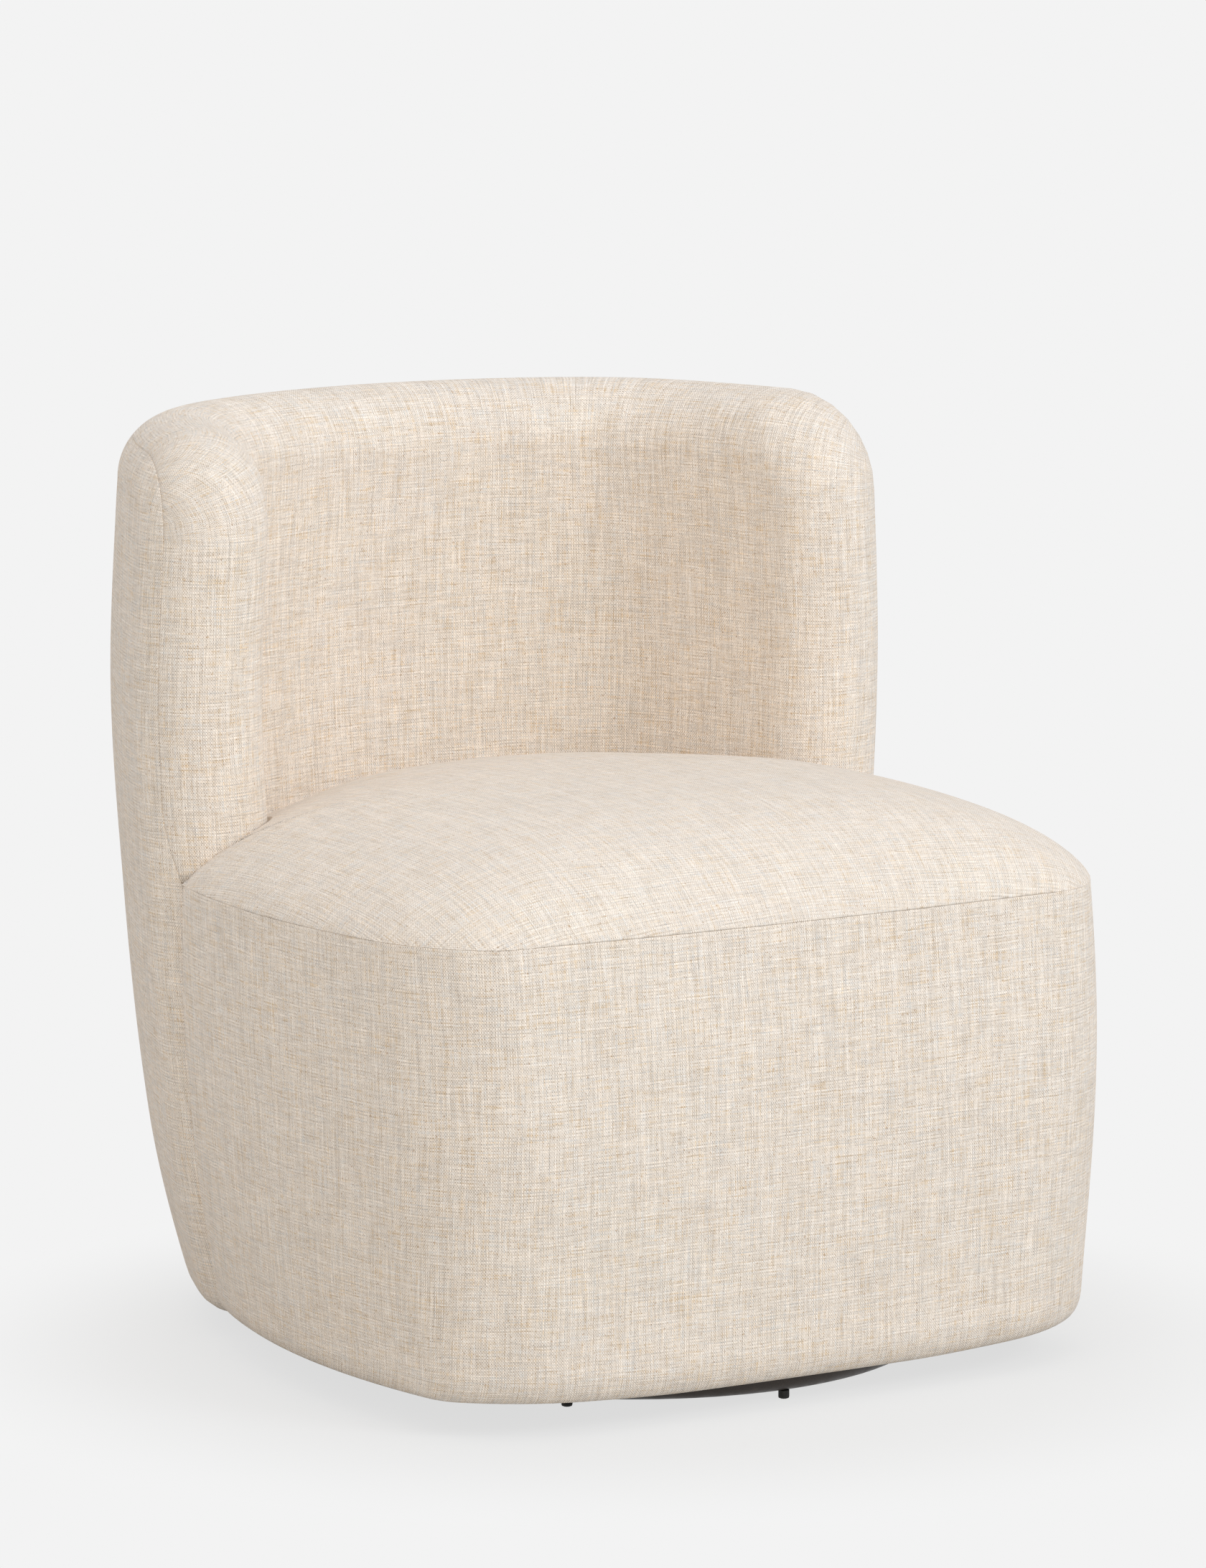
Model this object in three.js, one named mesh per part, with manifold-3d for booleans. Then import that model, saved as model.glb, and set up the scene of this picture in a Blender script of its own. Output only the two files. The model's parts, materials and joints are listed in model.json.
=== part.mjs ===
// Swivel barrel chair: an upholstered tub on a round tube base with a ball-bearing swivel.
// Millimetres, +Z up, the sitter looks towards -Y. Heights are measured from the floor.
import * as THREE from 'three';
import { mergeVertices } from 'three/addons/utils/BufferGeometryUtils.js';
import Module from 'manifold-3d';

const wasm = await Module();
wasm.setup();

// Overall heights
const CHAIR_HEIGHT = 740;
const SEAM_HEIGHT = 384;
const SEAT_CROWN = 76.7;
const HEM_HEIGHT = 22;

// Seat outline at the seam: arcs from the front centre round to the back centre.
// The last arc closes the outline, so its radius and turn follow from the others.
const SEAT_FRONT_REACH = 251.6;
const FRONT_BOW_RADIUS = 3628;
const SEAM_CORNER_RADIUS = 60;
const SEAM_SHOULDER_RADIUS = 163;
const SIDE_RADIUS = 712;
const REAR_CORNER_RADIUS = 201;
const SEAM_TURNS = [3.9, 41.6, 31.9, 38.8, 37.8];

// The same outline at the hem, which has rounder front corners and draws in at the sides
const HEM_FRONT_STEP = 9.8;
const HEM_CORNER_RADIUS = 143;
const HEM_SHOULDER_RADIUS = 61;
const HEM_TURNS = [3.1, 42.8, 32.3, 38.8, 37.8];

// Upholstered base band
const BAND_THICKNESS = 17;
const BAND_BELLY = 7.8;
const BAND_TUCK = 14;
const BAND_HEM_TUCK = 40;
const HEM_ROLL_WIDTH = 13;
const HEM_ROLL_HEIGHT = 27;
const WALL_LEAN_SHARE = 0.8;
const WALL_BELLY_SHARE = 1.2;

// Wrap-round back: a padded sheet with a full-round crest and full-round front edges
const BACK_THICKNESS = 104;
const WING_SETBACK = 194.4;
const WING_HEM_LEAN = 30;
const LEAN_TOP = 220;
const LEAN_FADE = 200;
const CREST_CORNER_RADIUS = 31;
const BELLY_REACH = 24.8;
const BARREL_HEIGHT_SHARES = [0, 0.2, 0.45, 0.7, 0.9, 1];
const BARREL_REACH_SHARES = [-1.468, -0.125, 0.617, 1, 0.758, 0.52];
const OUTER_COVER_THICKNESS = 12;
const INNER_PAD_THICKNESS = 40;
const COVER_HEM_ROLL = 8;
const PANEL_SEAM_ANGLE = 50;
const LOW_SEAM_ANGLE = 33;
const SEAM_FADE_HEIGHT = 60;

// Crowned seat
const CROWN_SETBACK = -8;
const CROWN_SPREAD_SHARE = 3.36;
const CROWN_EDGE_SHARE = 0.755;
const DOME_RING_SHARES = [1, 0.993, 0.965, 0.9, 0.8, 0.64, 0.44, 0.22];

// Timber frame
const BOARD_THICKNESS = 18;
const BOARD_BORE_RADIUS = 18;
const PANEL_THICKNESS = 5;
const DECK_THICKNESS = 18;
const DECK_RAIL_WIDTH = 70;
const RIB_WIDTH = 22;
const TOP_RAIL_THICKNESS = 18;
const POST_WIDTH = 32;
const POST_DEPTH = 45;
const POST_PLACE_SHARES = { front: 0.55, corner: 2.3, side: 3.3 };
const RIB_COUNT = 7;
const FOAM_SLAB_THICKNESS = 44;
const FELT_THICKNESS = 2;

// Sinuous seat springs
const SPRING_WIRE_RADIUS = 1.75;
const SPRING_HALF_WIDTH = 24;
const SPRING_SPACING = 104;
const SPRING_COUNT = 4;
const SPRING_BARS = 17;
const SPRING_BEND_ANGLES = [50, 90, 130];
const CLIP_STRIP = 1.2;
const CLIP_WIDTH = 16;
const CLIP_TAIL = 16;
const CLIP_CURL_START_ANGLE = -90;
const CLIP_CURL_END_ANGLE = 150;

// Base ring and spokes
const RING_OUTER_RADIUS = 237;
const RING_TUBE_RADIUS = 12;
const GLIDE_HEIGHT = 7;
const GLIDE_RADIUS = 4.5;
const GLIDE_EDGE_RADIUS = 1.4;
const GLIDE_COUNT = 8;
const SPOKE_WIDTH = 32;
const SPOKE_HEIGHT = 14;
const SPOKE_INNER_REACH = 34;
const SPOKE_COUNT = 4;
const FIRST_SPOKE_ANGLE = 45;

// Swivel bearing: two pressed plates, caged balls between them and a centre bolt
const PLATE_SIDE = 178;
const PLATE_THICKNESS = 3;
const PLATE_CORNER_RADIUS = 12;
const PLATE_HOLE_REACH = 74;
const PLATE_HOLE_RADIUS = 3.4;
const BALL_RADIUS = 4;
const BALL_CIRCLE_RADIUS = 60;
const BALL_COUNT = 10;
const TRACK_HALF_WIDTH = 7.5;
const TRACK_HEIGHT = 2.5;
const GROOVE_RADIUS = 5.2;
const CAGE_THICKNESS = 1.2;
const CAGE_HALF_WIDTH = 8;
const PIVOT_RADIUS = 6;
const PIVOT_HEAD_RADIUS = 10;
const PIVOT_HEAD_HEIGHT = 5;
const PIVOT_NUT_HEIGHT = 6;
const PIVOT_TIP_SHARE = 0.75;
const WASHER_RADIUS = 12;
const WASHER_THICKNESS = 1.5;
const SCREW_RADIUS = 3;
const SCREW_HEAD_RADIUS = 6;
const SCREW_HEAD_HEIGHT = 2.4;
const SCREW_HEAD_FLAT_SHARE = 0.7;
const SCREW_REACH = 13;
const DUST_COVER_THICKNESS = 0.6;
const DUST_COVER_MARGIN = 5;

// Clearances
const SEATING_GAP = 0.3;
const PAD_GAP = 0.8;
const RUNNING_GAP = 0.3;
const CUT_OVERRUN = 2;
const MERGE_TOLERANCE = 1e-4;

// Facets
const RING_SEGMENTS = 48;
const TUBE_SIDES = 10;
const TRACK_SEGMENTS = 24;
const ROUND_SEGMENTS = 16;
const SMALL_ROUND_SEGMENTS = 10;
const WIRE_SIDES = 4;
const ARC_DIVISIONS = [2, 5, 4, 7, 5, 4];
const NEAREST_DIVISION_SHARE = 0.3;
const CORNER_DIVISIONS = 3;
const UPPER_ROWS = 6;
const LOWER_ROWS = 4;
const BAND_WALL_ROWS = 6;
const PANEL_ROWS = 4;
const POST_ROWS = 3;
const RIB_ROWS = 7;
const CUTTER_ROWS = 3;
const HEM_ROLL_ANGLES = [30, 60, 90];
const COVER_HEM_SHARES = [{ rise: 0, tuck: 1 }, { rise: 0.3, tuck: 0.3 }];
const COVER_EDGE_DIVISIONS = 3;
const LINING_EDGE_DIVISIONS = 7;
const CUTTER_EDGE_DIVISIONS = 16;
const SEAT_COLUMNS = 96;
const SEAT_SMOOTHING_PASSES = 2;
const CLIP_CURL_DIVISIONS = 6;
const GROOVE_DIVISIONS = 5;
const GLIDE_EDGE_DIVISIONS = 2;
const CORNER_SEGMENTS = 6;
const BALL_DETAIL = 2;

// Heights and radii that follow from the sizes above
const RING_CENTRE_RADIUS = RING_OUTER_RADIUS - RING_TUBE_RADIUS;
const RING_CENTRE_HEIGHT = GLIDE_HEIGHT + RING_TUBE_RADIUS;
const SPOKE_TOP = RING_CENTRE_HEIGHT + SPOKE_HEIGHT / 2;
const LOWER_PLATE_BOTTOM = SPOKE_TOP + SEATING_GAP;
const LOWER_PLATE_TOP = LOWER_PLATE_BOTTOM + PLATE_THICKNESS;
const BALL_CENTRE_HEIGHT = LOWER_PLATE_TOP + RUNNING_GAP + BALL_RADIUS;
const UPPER_PLATE_BOTTOM = BALL_CENTRE_HEIGHT + BALL_RADIUS + RUNNING_GAP;
const UPPER_PLATE_TOP = UPPER_PLATE_BOTTOM + PLATE_THICKNESS;
const BOARD_BOTTOM = UPPER_PLATE_TOP + SEATING_GAP;
const BOARD_TOP = BOARD_BOTTOM + BOARD_THICKNESS;
const BACK_RADIUS = BACK_THICKNESS / 2;
const CREST_LINE = CHAIR_HEIGHT - BACK_RADIUS;
const FOAM_TOP = SEAM_HEIGHT - SEATING_GAP / 2;
const FOAM_BOTTOM = FOAM_TOP - FOAM_SLAB_THICKNESS;
const FELT_BOTTOM = FOAM_BOTTOM - SEATING_GAP - FELT_THICKNESS;
const CLIP_RADIUS = SPRING_WIRE_RADIUS + RUNNING_GAP + CLIP_STRIP;
const SPRING_HEIGHT = FELT_BOTTOM - SEATING_GAP - CLIP_RADIUS;
const DECK_TOP = SPRING_HEIGHT - CLIP_RADIUS - SEATING_GAP;
const DECK_BOTTOM = DECK_TOP - DECK_THICKNESS;
const PANEL_INSET = BAND_THICKNESS + PAD_GAP;
const DECK_INSET = PANEL_INSET + PANEL_THICKNESS + PAD_GAP;
const RIB_OUTER_INSET = OUTER_COVER_THICKNESS + 2 * PAD_GAP;
const RIB_INNER_INSET = BACK_THICKNESS - INNER_PAD_THICKNESS - 2 * PAD_GAP;
const DECK_REAR_INSET = BACK_THICKNESS - INNER_PAD_THICKNESS;
const TOP_RAIL_TOP = CREST_LINE - SEATING_GAP;
const TOP_RAIL_BOTTOM = TOP_RAIL_TOP - TOP_RAIL_THICKNESS;
const RIB_BOTTOM = BOARD_TOP + SEATING_GAP;
const RIB_TOP = TOP_RAIL_BOTTOM - SEATING_GAP;

// Finishes
const LINEN = { color: 0xded3c3, roughness: 0.95, metalness: 0 };
const FOAM = { color: 0xe9e2c8, roughness: 1, metalness: 0 };
const FELT = { color: 0x77736c, roughness: 1, metalness: 0 };
const PLYWOOD = { color: 0xc39a6b, roughness: 0.75, metalness: 0 };
const BRONZE = { color: 0x2b2724, roughness: 0.45, metalness: 0.7 };
const ZINC = { color: 0xa9abad, roughness: 0.4, metalness: 0.9 };
const SPRING_STEEL = { color: 0x55585c, roughness: 0.45, metalness: 0.9 };
const RUBBER = { color: 0x141414, roughness: 0.85, metalness: 0 };
const CAMBRIC = { color: 0x1c1c1d, roughness: 1, metalness: 0 };

const chair = new THREE.Group();

function addPart(name, finish, geometry) {
  const mesh = new THREE.Mesh(geometry, new THREE.MeshStandardMaterial(finish));
  mesh.name = name;
  chair.add(mesh);
  return mesh;
}

// Closed geometry with shared corners, no collapsed faces and its faces outwards
function closedForm(geometry) {
  geometry.deleteAttribute('normal');
  geometry.deleteAttribute('uv');
  const merged = mergeVertices(geometry, MERGE_TOLERANCE);
  const faces = [];
  const corners = merged.index.array;
  for (let i = 0; i < corners.length; i += 3) {
    const [a, b, c] = [corners[i], corners[i + 1], corners[i + 2]];
    if (a !== b && b !== c && c !== a) faces.push([a, b, c]);
  }
  const at = (i) => new THREE.Vector3().fromBufferAttribute(merged.attributes.position, i);
  const volume = faces.reduce((sum, [a, b, c]) => sum + at(a).dot(at(b).cross(at(c))), 0);
  const outward = volume > 0 ? faces : faces.map(([a, b, c]) => [a, c, b]);
  merged.setIndex(outward.flat());
  merged.computeVertexNormals();
  return merged;
}

function solidOf(geometry) {
  const form = closedForm(geometry.clone());
  const vertProperties = new Float32Array(form.attributes.position.array);
  const triVerts = new Uint32Array(form.index.array);
  return new wasm.Manifold(new wasm.Mesh({ numProp: 3, vertProperties, triVerts }));
}

function geometryOf(solid) {
  const mesh = solid.getMesh();
  const geometry = new THREE.BufferGeometry();
  geometry.setAttribute('position', new THREE.BufferAttribute(mesh.vertProperties, 3));
  geometry.setIndex([...mesh.triVerts]);
  geometry.computeVertexNormals();
  return geometry;
}

const subtract = (body, cutter) => geometryOf(solidOf(body).subtract(solidOf(cutter)));
const join = (first, ...others) => geometryOf(
  others.reduce((solid, other) => solid.add(solidOf(other)), solidOf(first)),
);

// A skin collects grids of points; two grids that share an edge share its points exactly
class Skin {
  corners = [];

  grid(rows, reversed = false) {
    for (let i = 0; i + 1 < rows.length; i += 1) {
      for (let j = 0; j + 1 < rows[i].length; j += 1) {
        const [a, b] = [rows[i][j], rows[i][j + 1]];
        const [c, d] = [rows[i + 1][j + 1], rows[i + 1][j]];
        this.corners.push(...(reversed ? [a, d, c, a, c, b] : [a, b, c, a, c, d]));
      }
    }
    return this;
  }

  faces(points, triangles, reversed = false) {
    for (const [a, b, c] of triangles) {
      const [second, third] = reversed ? [c, b] : [b, c];
      this.corners.push(points[a], points[second], points[third]);
    }
    return this;
  }

  closed() {
    return closedForm(new THREE.BufferGeometry().setFromPoints(this.corners));
  }
}

const column = (rows, j) => rows.map((row) => row.at(j));

// A sheet with a front face and a rear face of as many points, closed along its four edges
function thickSheet(front, rear) {
  return new Skin()
    .grid(front)
    .grid(rear, true)
    .grid([rear[0], front[0]])
    .grid([front.at(-1), rear.at(-1)])
    .grid([column(front, 0), column(rear, 0)])
    .grid([column(rear, -1), column(front, -1)])
    .closed();
}

// A flat slab between two outlines of as many points, with an optional window through it
function slab(lower, upper, lowerWindow = [], upperWindow = []) {
  const flat = (points) => points.map((p) => new THREE.Vector2(p.x, p.y));
  const windows = lowerWindow.length ? [flat(lowerWindow)] : [];
  const triangles = THREE.ShapeUtils.triangulateShape(flat(lower), windows);
  const skin = new Skin();
  skin.grid([[...lower, lower[0]], [...upper, upper[0]]]);
  if (lowerWindow.length) {
    skin.grid([[...lowerWindow, lowerWindow[0]], [...upperWindow, upperWindow[0]]]);
  }
  skin.faces([...lower, ...lowerWindow], triangles, true);
  skin.faces([...upper, ...upperWindow], triangles);
  return skin.closed();
}

// A round body turned about the vertical axis from radius and height pairs
function turned(profile, segments, closes = false) {
  const points = profile.map(([radius, height]) => new THREE.Vector2(radius, height));
  if (closes) points.push(points[0].clone());
  const geometry = new THREE.LatheGeometry(points, segments);
  geometry.rotateX(Math.PI / 2);
  return closedForm(geometry);
}

const { lerp, clamp, degToRad, radToDeg, smoothstep } = THREE.MathUtils;
const between = (from, to, count) => Array.from({ length: count + 1 }, (_, i) => lerp(from, to, i / count));

// An outline of arcs that turns through half a circle, from the front centre to the back
class ArcOutline {
  constructor(radii, turns, frontReach) {
    this.arcs = [];
    this.length = 0;
    let pen = { x: 0, y: -frontReach, heading: 0 };
    radii.forEach((radius, i) => {
      pen = this.addArc(pen, radius, degToRad(turns[i]));
    });
    this.addArc(pen, pen.x / Math.sin(pen.heading), Math.PI - pen.heading);
  }

  addArc(pen, radius, turn) {
    const arc = { ...pen, radius, turn, start: this.length };
    this.arcs.push(arc);
    this.length += radius * turn;
    return this.on(arc, 1);
  }

  on(arc, share) {
    const heading = arc.heading + arc.turn * share;
    const x = arc.x + arc.radius * (Math.sin(heading) - Math.sin(arc.heading));
    const y = arc.y - arc.radius * (Math.cos(heading) - Math.cos(arc.heading));
    return { x, y, heading, nx: Math.sin(heading), ny: -Math.cos(heading) };
  }

  atStep(step) {
    const index = Math.min(Math.floor(step), this.arcs.length - 1);
    return this.on(this.arcs[index], step - index);
  }

  lengthAtStep(step) {
    const index = Math.min(Math.floor(step), this.arcs.length - 1);
    const arc = this.arcs[index];
    return arc.start + (step - index) * arc.radius * arc.turn;
  }

  stepAtLength(length) {
    const index = this.arcs.findLastIndex((arc) => arc.start <= length);
    const arc = this.arcs[index];
    return index + (length - arc.start) / (arc.radius * arc.turn);
  }

  atLength(length) {
    return this.atStep(this.stepAtLength(length));
  }

  lengthWhereY(y) {
    let [low, high] = [this.arcs[2].start, this.length];
    for (let i = 0; i < 50; i += 1) {
      const middle = (low + high) / 2;
      [low, high] = this.atLength(middle).y < y ? [middle, high] : [low, middle];
    }
    return low;
  }
}

const SEAM_OUTLINE = new ArcOutline(
  [FRONT_BOW_RADIUS, SEAM_CORNER_RADIUS, SEAM_SHOULDER_RADIUS, SIDE_RADIUS, REAR_CORNER_RADIUS],
  SEAM_TURNS,
  SEAT_FRONT_REACH,
);
const HEM_OUTLINE = new ArcOutline(
  [FRONT_BOW_RADIUS, HEM_CORNER_RADIUS, HEM_SHOULDER_RADIUS, SIDE_RADIUS, REAR_CORNER_RADIUS],
  HEM_TURNS,
  SEAT_FRONT_REACH + HEM_FRONT_STEP,
);

// Steps along the arcs between two places, with the divisions that each arc is given
function arcSteps(from, to) {
  const inner = ARC_DIVISIONS.flatMap((count, arc) => (
    Array.from({ length: count }, (_, i) => arc + i / count)
  ));
  const margin = NEAREST_DIVISION_SHARE / Math.max(...ARC_DIVISIONS);
  return [from, ...inner.filter((step) => step > from + margin && step < to - margin), to];
}

// Near the floor the front edges of the back lean rearwards, and the band's ends follow them
const leanShare = (height) => clamp((LEAN_TOP - height) / (LEAN_TOP - HEM_HEIGHT), 0, 1);

// Base band: the wall leans from the hem outline to the seam outline with a slight belly
function baseWall(baseStep, side, height, inset = 0) {
  const reach = Math.max(baseStep - SIDE_STEP, 0) / (BAND_END_STEP - SIDE_STEP);
  const step = baseStep + HEM_TUCK_STEP * leanShare(height) * reach ** 2;
  const hem = HEM_OUTLINE.atStep(step);
  const seam = SEAM_OUTLINE.atStep(step);
  const wallFoot = HEM_HEIGHT + HEM_ROLL_HEIGHT;
  const rise = clamp((height - wallFoot) / (SEAM_HEIGHT - wallFoot), 0, 1);
  const lean = rise ** WALL_LEAN_SHARE;
  const out = BAND_BELLY * Math.sin(Math.PI * rise ** WALL_BELLY_SHARE) - inset;
  return new THREE.Vector3(
    side * (lerp(hem.x, seam.x, lean) + seam.nx * out),
    lerp(hem.y, seam.y, lean) + seam.ny * out,
    height,
  );
}

// Places round the base from the left end of the band, past the front, to its right end
function bandPlaces(lastStep) {
  const right = arcSteps(0, lastStep).map((step) => ({ step, side: 1 }));
  const left = right.slice(1).map(({ step }) => ({ step, side: -1 }));
  return [...left.reverse(), ...right];
}

const WING_LENGTH = SEAM_OUTLINE.lengthWhereY(WING_SETBACK);
const WRAP_HALF = SEAM_OUTLINE.length - WING_LENGTH;
const BAND_END_STEP = SEAM_OUTLINE.stepAtLength(WING_LENGTH + BAND_TUCK);
const SIDE_STEP = SEAM_TURNS.length - 2;
const HEM_TUCK_STEP = BAND_HEM_TUCK / (SIDE_RADIUS * degToRad(SEAM_TURNS[SIDE_STEP]));

// How far the outside of the back stands beyond the seam outline: smooth through the shares
function barrelReach(height) {
  const span = CHAIR_HEIGHT - HEM_HEIGHT;
  const place = clamp((height - HEM_HEIGHT) / span, 0, 1);
  const [xs, ys] = [BARREL_HEIGHT_SHARES, BARREL_REACH_SHARES];
  const rise = xs.slice(1).map((x, k) => (ys[k + 1] - ys[k]) / (x - xs[k]));
  const slope = xs.map((_, k) => {
    if (k === 0) return 1.5 * rise[0] - 0.5 * rise[1];
    if (k === rise.length) return 1.5 * rise[k - 1] - 0.5 * rise[k - 2];
    if (rise[k - 1] * rise[k] <= 0) return 0;
    return (2 * rise[k - 1] * rise[k]) / (rise[k - 1] + rise[k]);
  });
  const k = clamp(xs.findLastIndex((x) => x <= place), 0, rise.length - 1);
  const width = xs[k + 1] - xs[k];
  const u = (place - xs[k]) / width;
  const start = ys[k] * (1 + 2 * u) * (1 - u) ** 2 + width * slope[k] * u * (1 - u) ** 2;
  const end = ys[k + 1] * u ** 2 * (3 - 2 * u) + width * slope[k + 1] * u ** 2 * (u - 1);
  return BELLY_REACH * (start + end);
}

// A point of the wrap-round back. Along runs from the left front edge to the right one;
// out is measured from the seam outline. Beyond either edge the back goes straight on.
function wrapPoint(along, out, height) {
  const side = along < WRAP_HALF ? -1 : 1;
  const fromEdge = Math.min(along, 2 * WRAP_HALF - along);
  const lean = WING_HEM_LEAN * leanShare(height) * clamp(1 - fromEdge / LEAN_FADE, 0, 1);
  const place = SEAM_OUTLINE.atLength(WING_LENGTH + Math.max(fromEdge, 0) + lean);
  const beyond = Math.min(fromEdge, 0);
  return new THREE.Vector3(
    side * (place.x + place.nx * out - place.ny * beyond),
    place.y + place.ny * out + place.nx * beyond,
    height,
  );
}

// Places along the back between two distances from its front edges
function wrapStations(margin) {
  const from = SEAM_OUTLINE.stepAtLength(WING_LENGTH + margin);
  const steps = arcSteps(from, SEAM_OUTLINE.arcs.length);
  const left = steps.map((step) => SEAM_OUTLINE.lengthAtStep(step) - WING_LENGTH);
  const right = left.slice(0, -1).map((along) => 2 * WRAP_HALF - along);
  return [...left, ...right.reverse()];
}

// The edge line of the back: up the left front edge, over the crest, down the right edge.
// Each point has the direction in which the round edge stands out from it.
function crestLine() {
  const quarter = Math.PI / 2;
  const corner = Array.from({ length: CORNER_DIVISIONS }, (_, i) => {
    const angle = (quarter * i) / CORNER_DIVISIONS;
    return {
      along: CREST_CORNER_RADIUS * (1 - Math.cos(angle)),
      height: CREST_LINE - CREST_CORNER_RADIUS * (1 - Math.sin(angle)),
      forward: -Math.cos(angle),
      up: Math.sin(angle),
    };
  });
  const crest = wrapStations(CREST_CORNER_RADIUS).map((along) => (
    { along, height: CREST_LINE, forward: 0, up: 1 }
  ));
  const mirrored = corner.map((point) => (
    { ...point, along: 2 * WRAP_HALF - point.along, forward: -point.forward }
  ));
  return [...corner, ...crest, ...mirrored.reverse()];
}

const CREST = crestLine();

// Rows of the back's walls above the seam, shared by everything that lies there
const UPPER_FOOT = SEAM_HEIGHT + SEATING_GAP;
const upperRows = (top) => between(UPPER_FOOT, top, UPPER_ROWS).map((height) => ({ height, tuck: 0 }));

// The outer cover goes on below the seam, down to its rolled hem
function fullRows(top) {
  const rolled = COVER_HEM_SHARES.map(({ rise, tuck }) => (
    { height: HEM_HEIGHT + COVER_HEM_ROLL * rise, tuck: COVER_HEM_ROLL * tuck }
  ));
  const lower = between(HEM_HEIGHT + COVER_HEM_ROLL, UPPER_FOOT, LOWER_ROWS).slice(0, -1);
  return [...rolled, ...lower.map((height) => ({ height, tuck: 0 })), ...upperRows(top)];
}

// One face of the back at a depth inside its outside: rows of points up to the edge line
function wallFace(rowsTo, depth, columns = CREST) {
  const byColumn = columns.map(({ along, height }) => (
    rowsTo(height).map((row) => wrapPoint(along, barrelReach(row.height) - depth(row), row.height))
  ));
  return byColumn[0].map((_, k) => byColumn.map((points) => points[k]));
}

// The places of the edge line, with the front edges as rows of the first and last column
function edgePlaces(rowsTo) {
  const uprights = rowsTo(CREST[0].height).slice(0, -1);
  const left = uprights.map(({ height, tuck }) => ({ ...CREST[0], height, tuck }));
  const right = uprights.map(({ height, tuck }) => ({ ...CREST.at(-1), height, tuck }));
  const crest = CREST.map((point) => ({ ...point, tuck: 0 }));
  return [...left, ...crest, ...right.reverse()];
}

// A point of the round edge: 90 degrees is the outside, 0 the outermost line, -90 the inside
function edgePoint(place, radius, angle) {
  const reach = (radius - place.tuck) * Math.cos(degToRad(angle));
  const out = (radius - place.tuck) * Math.sin(degToRad(angle));
  return wrapPoint(
    place.along + reach * place.forward,
    barrelReach(place.height) - BACK_RADIUS + out,
    place.height + reach * place.up,
  );
}

// The seam between outer cover and inner pad runs round the edge, lower beside the seat
function seamAngle(height) {
  const share = smoothstep(height, SEAM_HEIGHT - SEAM_FADE_HEIGHT, SEAM_HEIGHT + SEAM_FADE_HEIGHT);
  return lerp(LOW_SEAM_ANGLE, PANEL_SEAM_ANGLE, share);
}

function edgeBand(places, radius, anglesAt) {
  const byPlace = places.map((place) => anglesAt(place).map((angle) => edgePoint(place, radius, angle)));
  return byPlace[0].map((_, m) => byPlace.map((points) => points[m]));
}

// A wall of the back with its round edge, in front and rear faces joined along all borders
function wrappedPad(frontWall, frontEdge, rearWall, rearEdge) {
  return new Skin()
    .grid(frontWall)
    .grid(frontEdge)
    .grid(rearWall, true)
    .grid(rearEdge, true)
    .grid([rearWall[0], frontWall[0]])
    .grid([frontEdge.at(-1), rearEdge.at(-1)])
    .grid([column(frontEdge, 0), column(rearEdge, 0)])
    .grid([column(rearEdge, -1), column(frontEdge, -1)])
    .closed();
}

// Rows of the base band: its wall from the seam down, then the roll of its hem
const WALL_FOOT = HEM_HEIGHT + HEM_ROLL_HEIGHT;
const BAND_TOP = SEAM_HEIGHT - SEATING_GAP / 2;
const BAND_ROWS = [
  ...between(BAND_TOP, WALL_FOOT, BAND_WALL_ROWS).map((height) => ({ height, inset: 0 })),
  ...HEM_ROLL_ANGLES.map(degToRad).map((angle) => ({
    height: WALL_FOOT - HEM_ROLL_HEIGHT * Math.sin(angle),
    inset: HEM_ROLL_WIDTH * (1 - Math.cos(angle)),
  })),
];

// The space inside the band, as a cutter for what lies against the band from outside
function bandEnvelope(margin) {
  const heights = [UPPER_FOOT, ...BAND_ROWS.map(({ height }) => height), HEM_HEIGHT - CUT_OVERRUN];
  const endStep = BAND_END_STEP + HEM_TUCK_STEP * (PAD_GAP / BAND_HEM_TUCK);
  const rings = heights.map((height) => (
    bandPlaces(endStep).map(({ step, side }) => baseWall(step, side, height, -margin))
  ));
  const skin = new Skin();
  skin.grid(rings.map((ring) => [...ring, ring[0]]));
  const flat = rings[0].map((p) => new THREE.Vector2(p.x, p.y));
  const triangles = THREE.ShapeUtils.triangulateShape(flat, []);
  skin.faces(rings[0], triangles, true);
  skin.faces(rings.at(-1), triangles);
  return skin.closed();
}

// Outer cover: the fabric and its wadding round the outside, from the hem to the seam
function outerCover() {
  const places = edgePlaces(fullRows);
  const innerPlaces = places.map((place) => ({ ...place, tuck: 0 }));
  const angles = (place) => between(90, seamAngle(place.height), COVER_EDGE_DIVISIONS);
  const cover = wrappedPad(
    wallFace(fullRows, (row) => row.tuck),
    edgeBand(places, BACK_RADIUS, angles),
    wallFace(fullRows, () => OUTER_COVER_THICKNESS),
    edgeBand(innerPlaces, BACK_RADIUS - OUTER_COVER_THICKNESS, angles),
  );
  return subtract(cover, bandEnvelope(SEATING_GAP));
}

// The same place along the back, kept clear of the rounded corners of its crest
const betweenEdges = (along) => clamp(along, CREST_CORNER_RADIUS, 2 * WRAP_HALF - CREST_CORNER_RADIUS);

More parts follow.
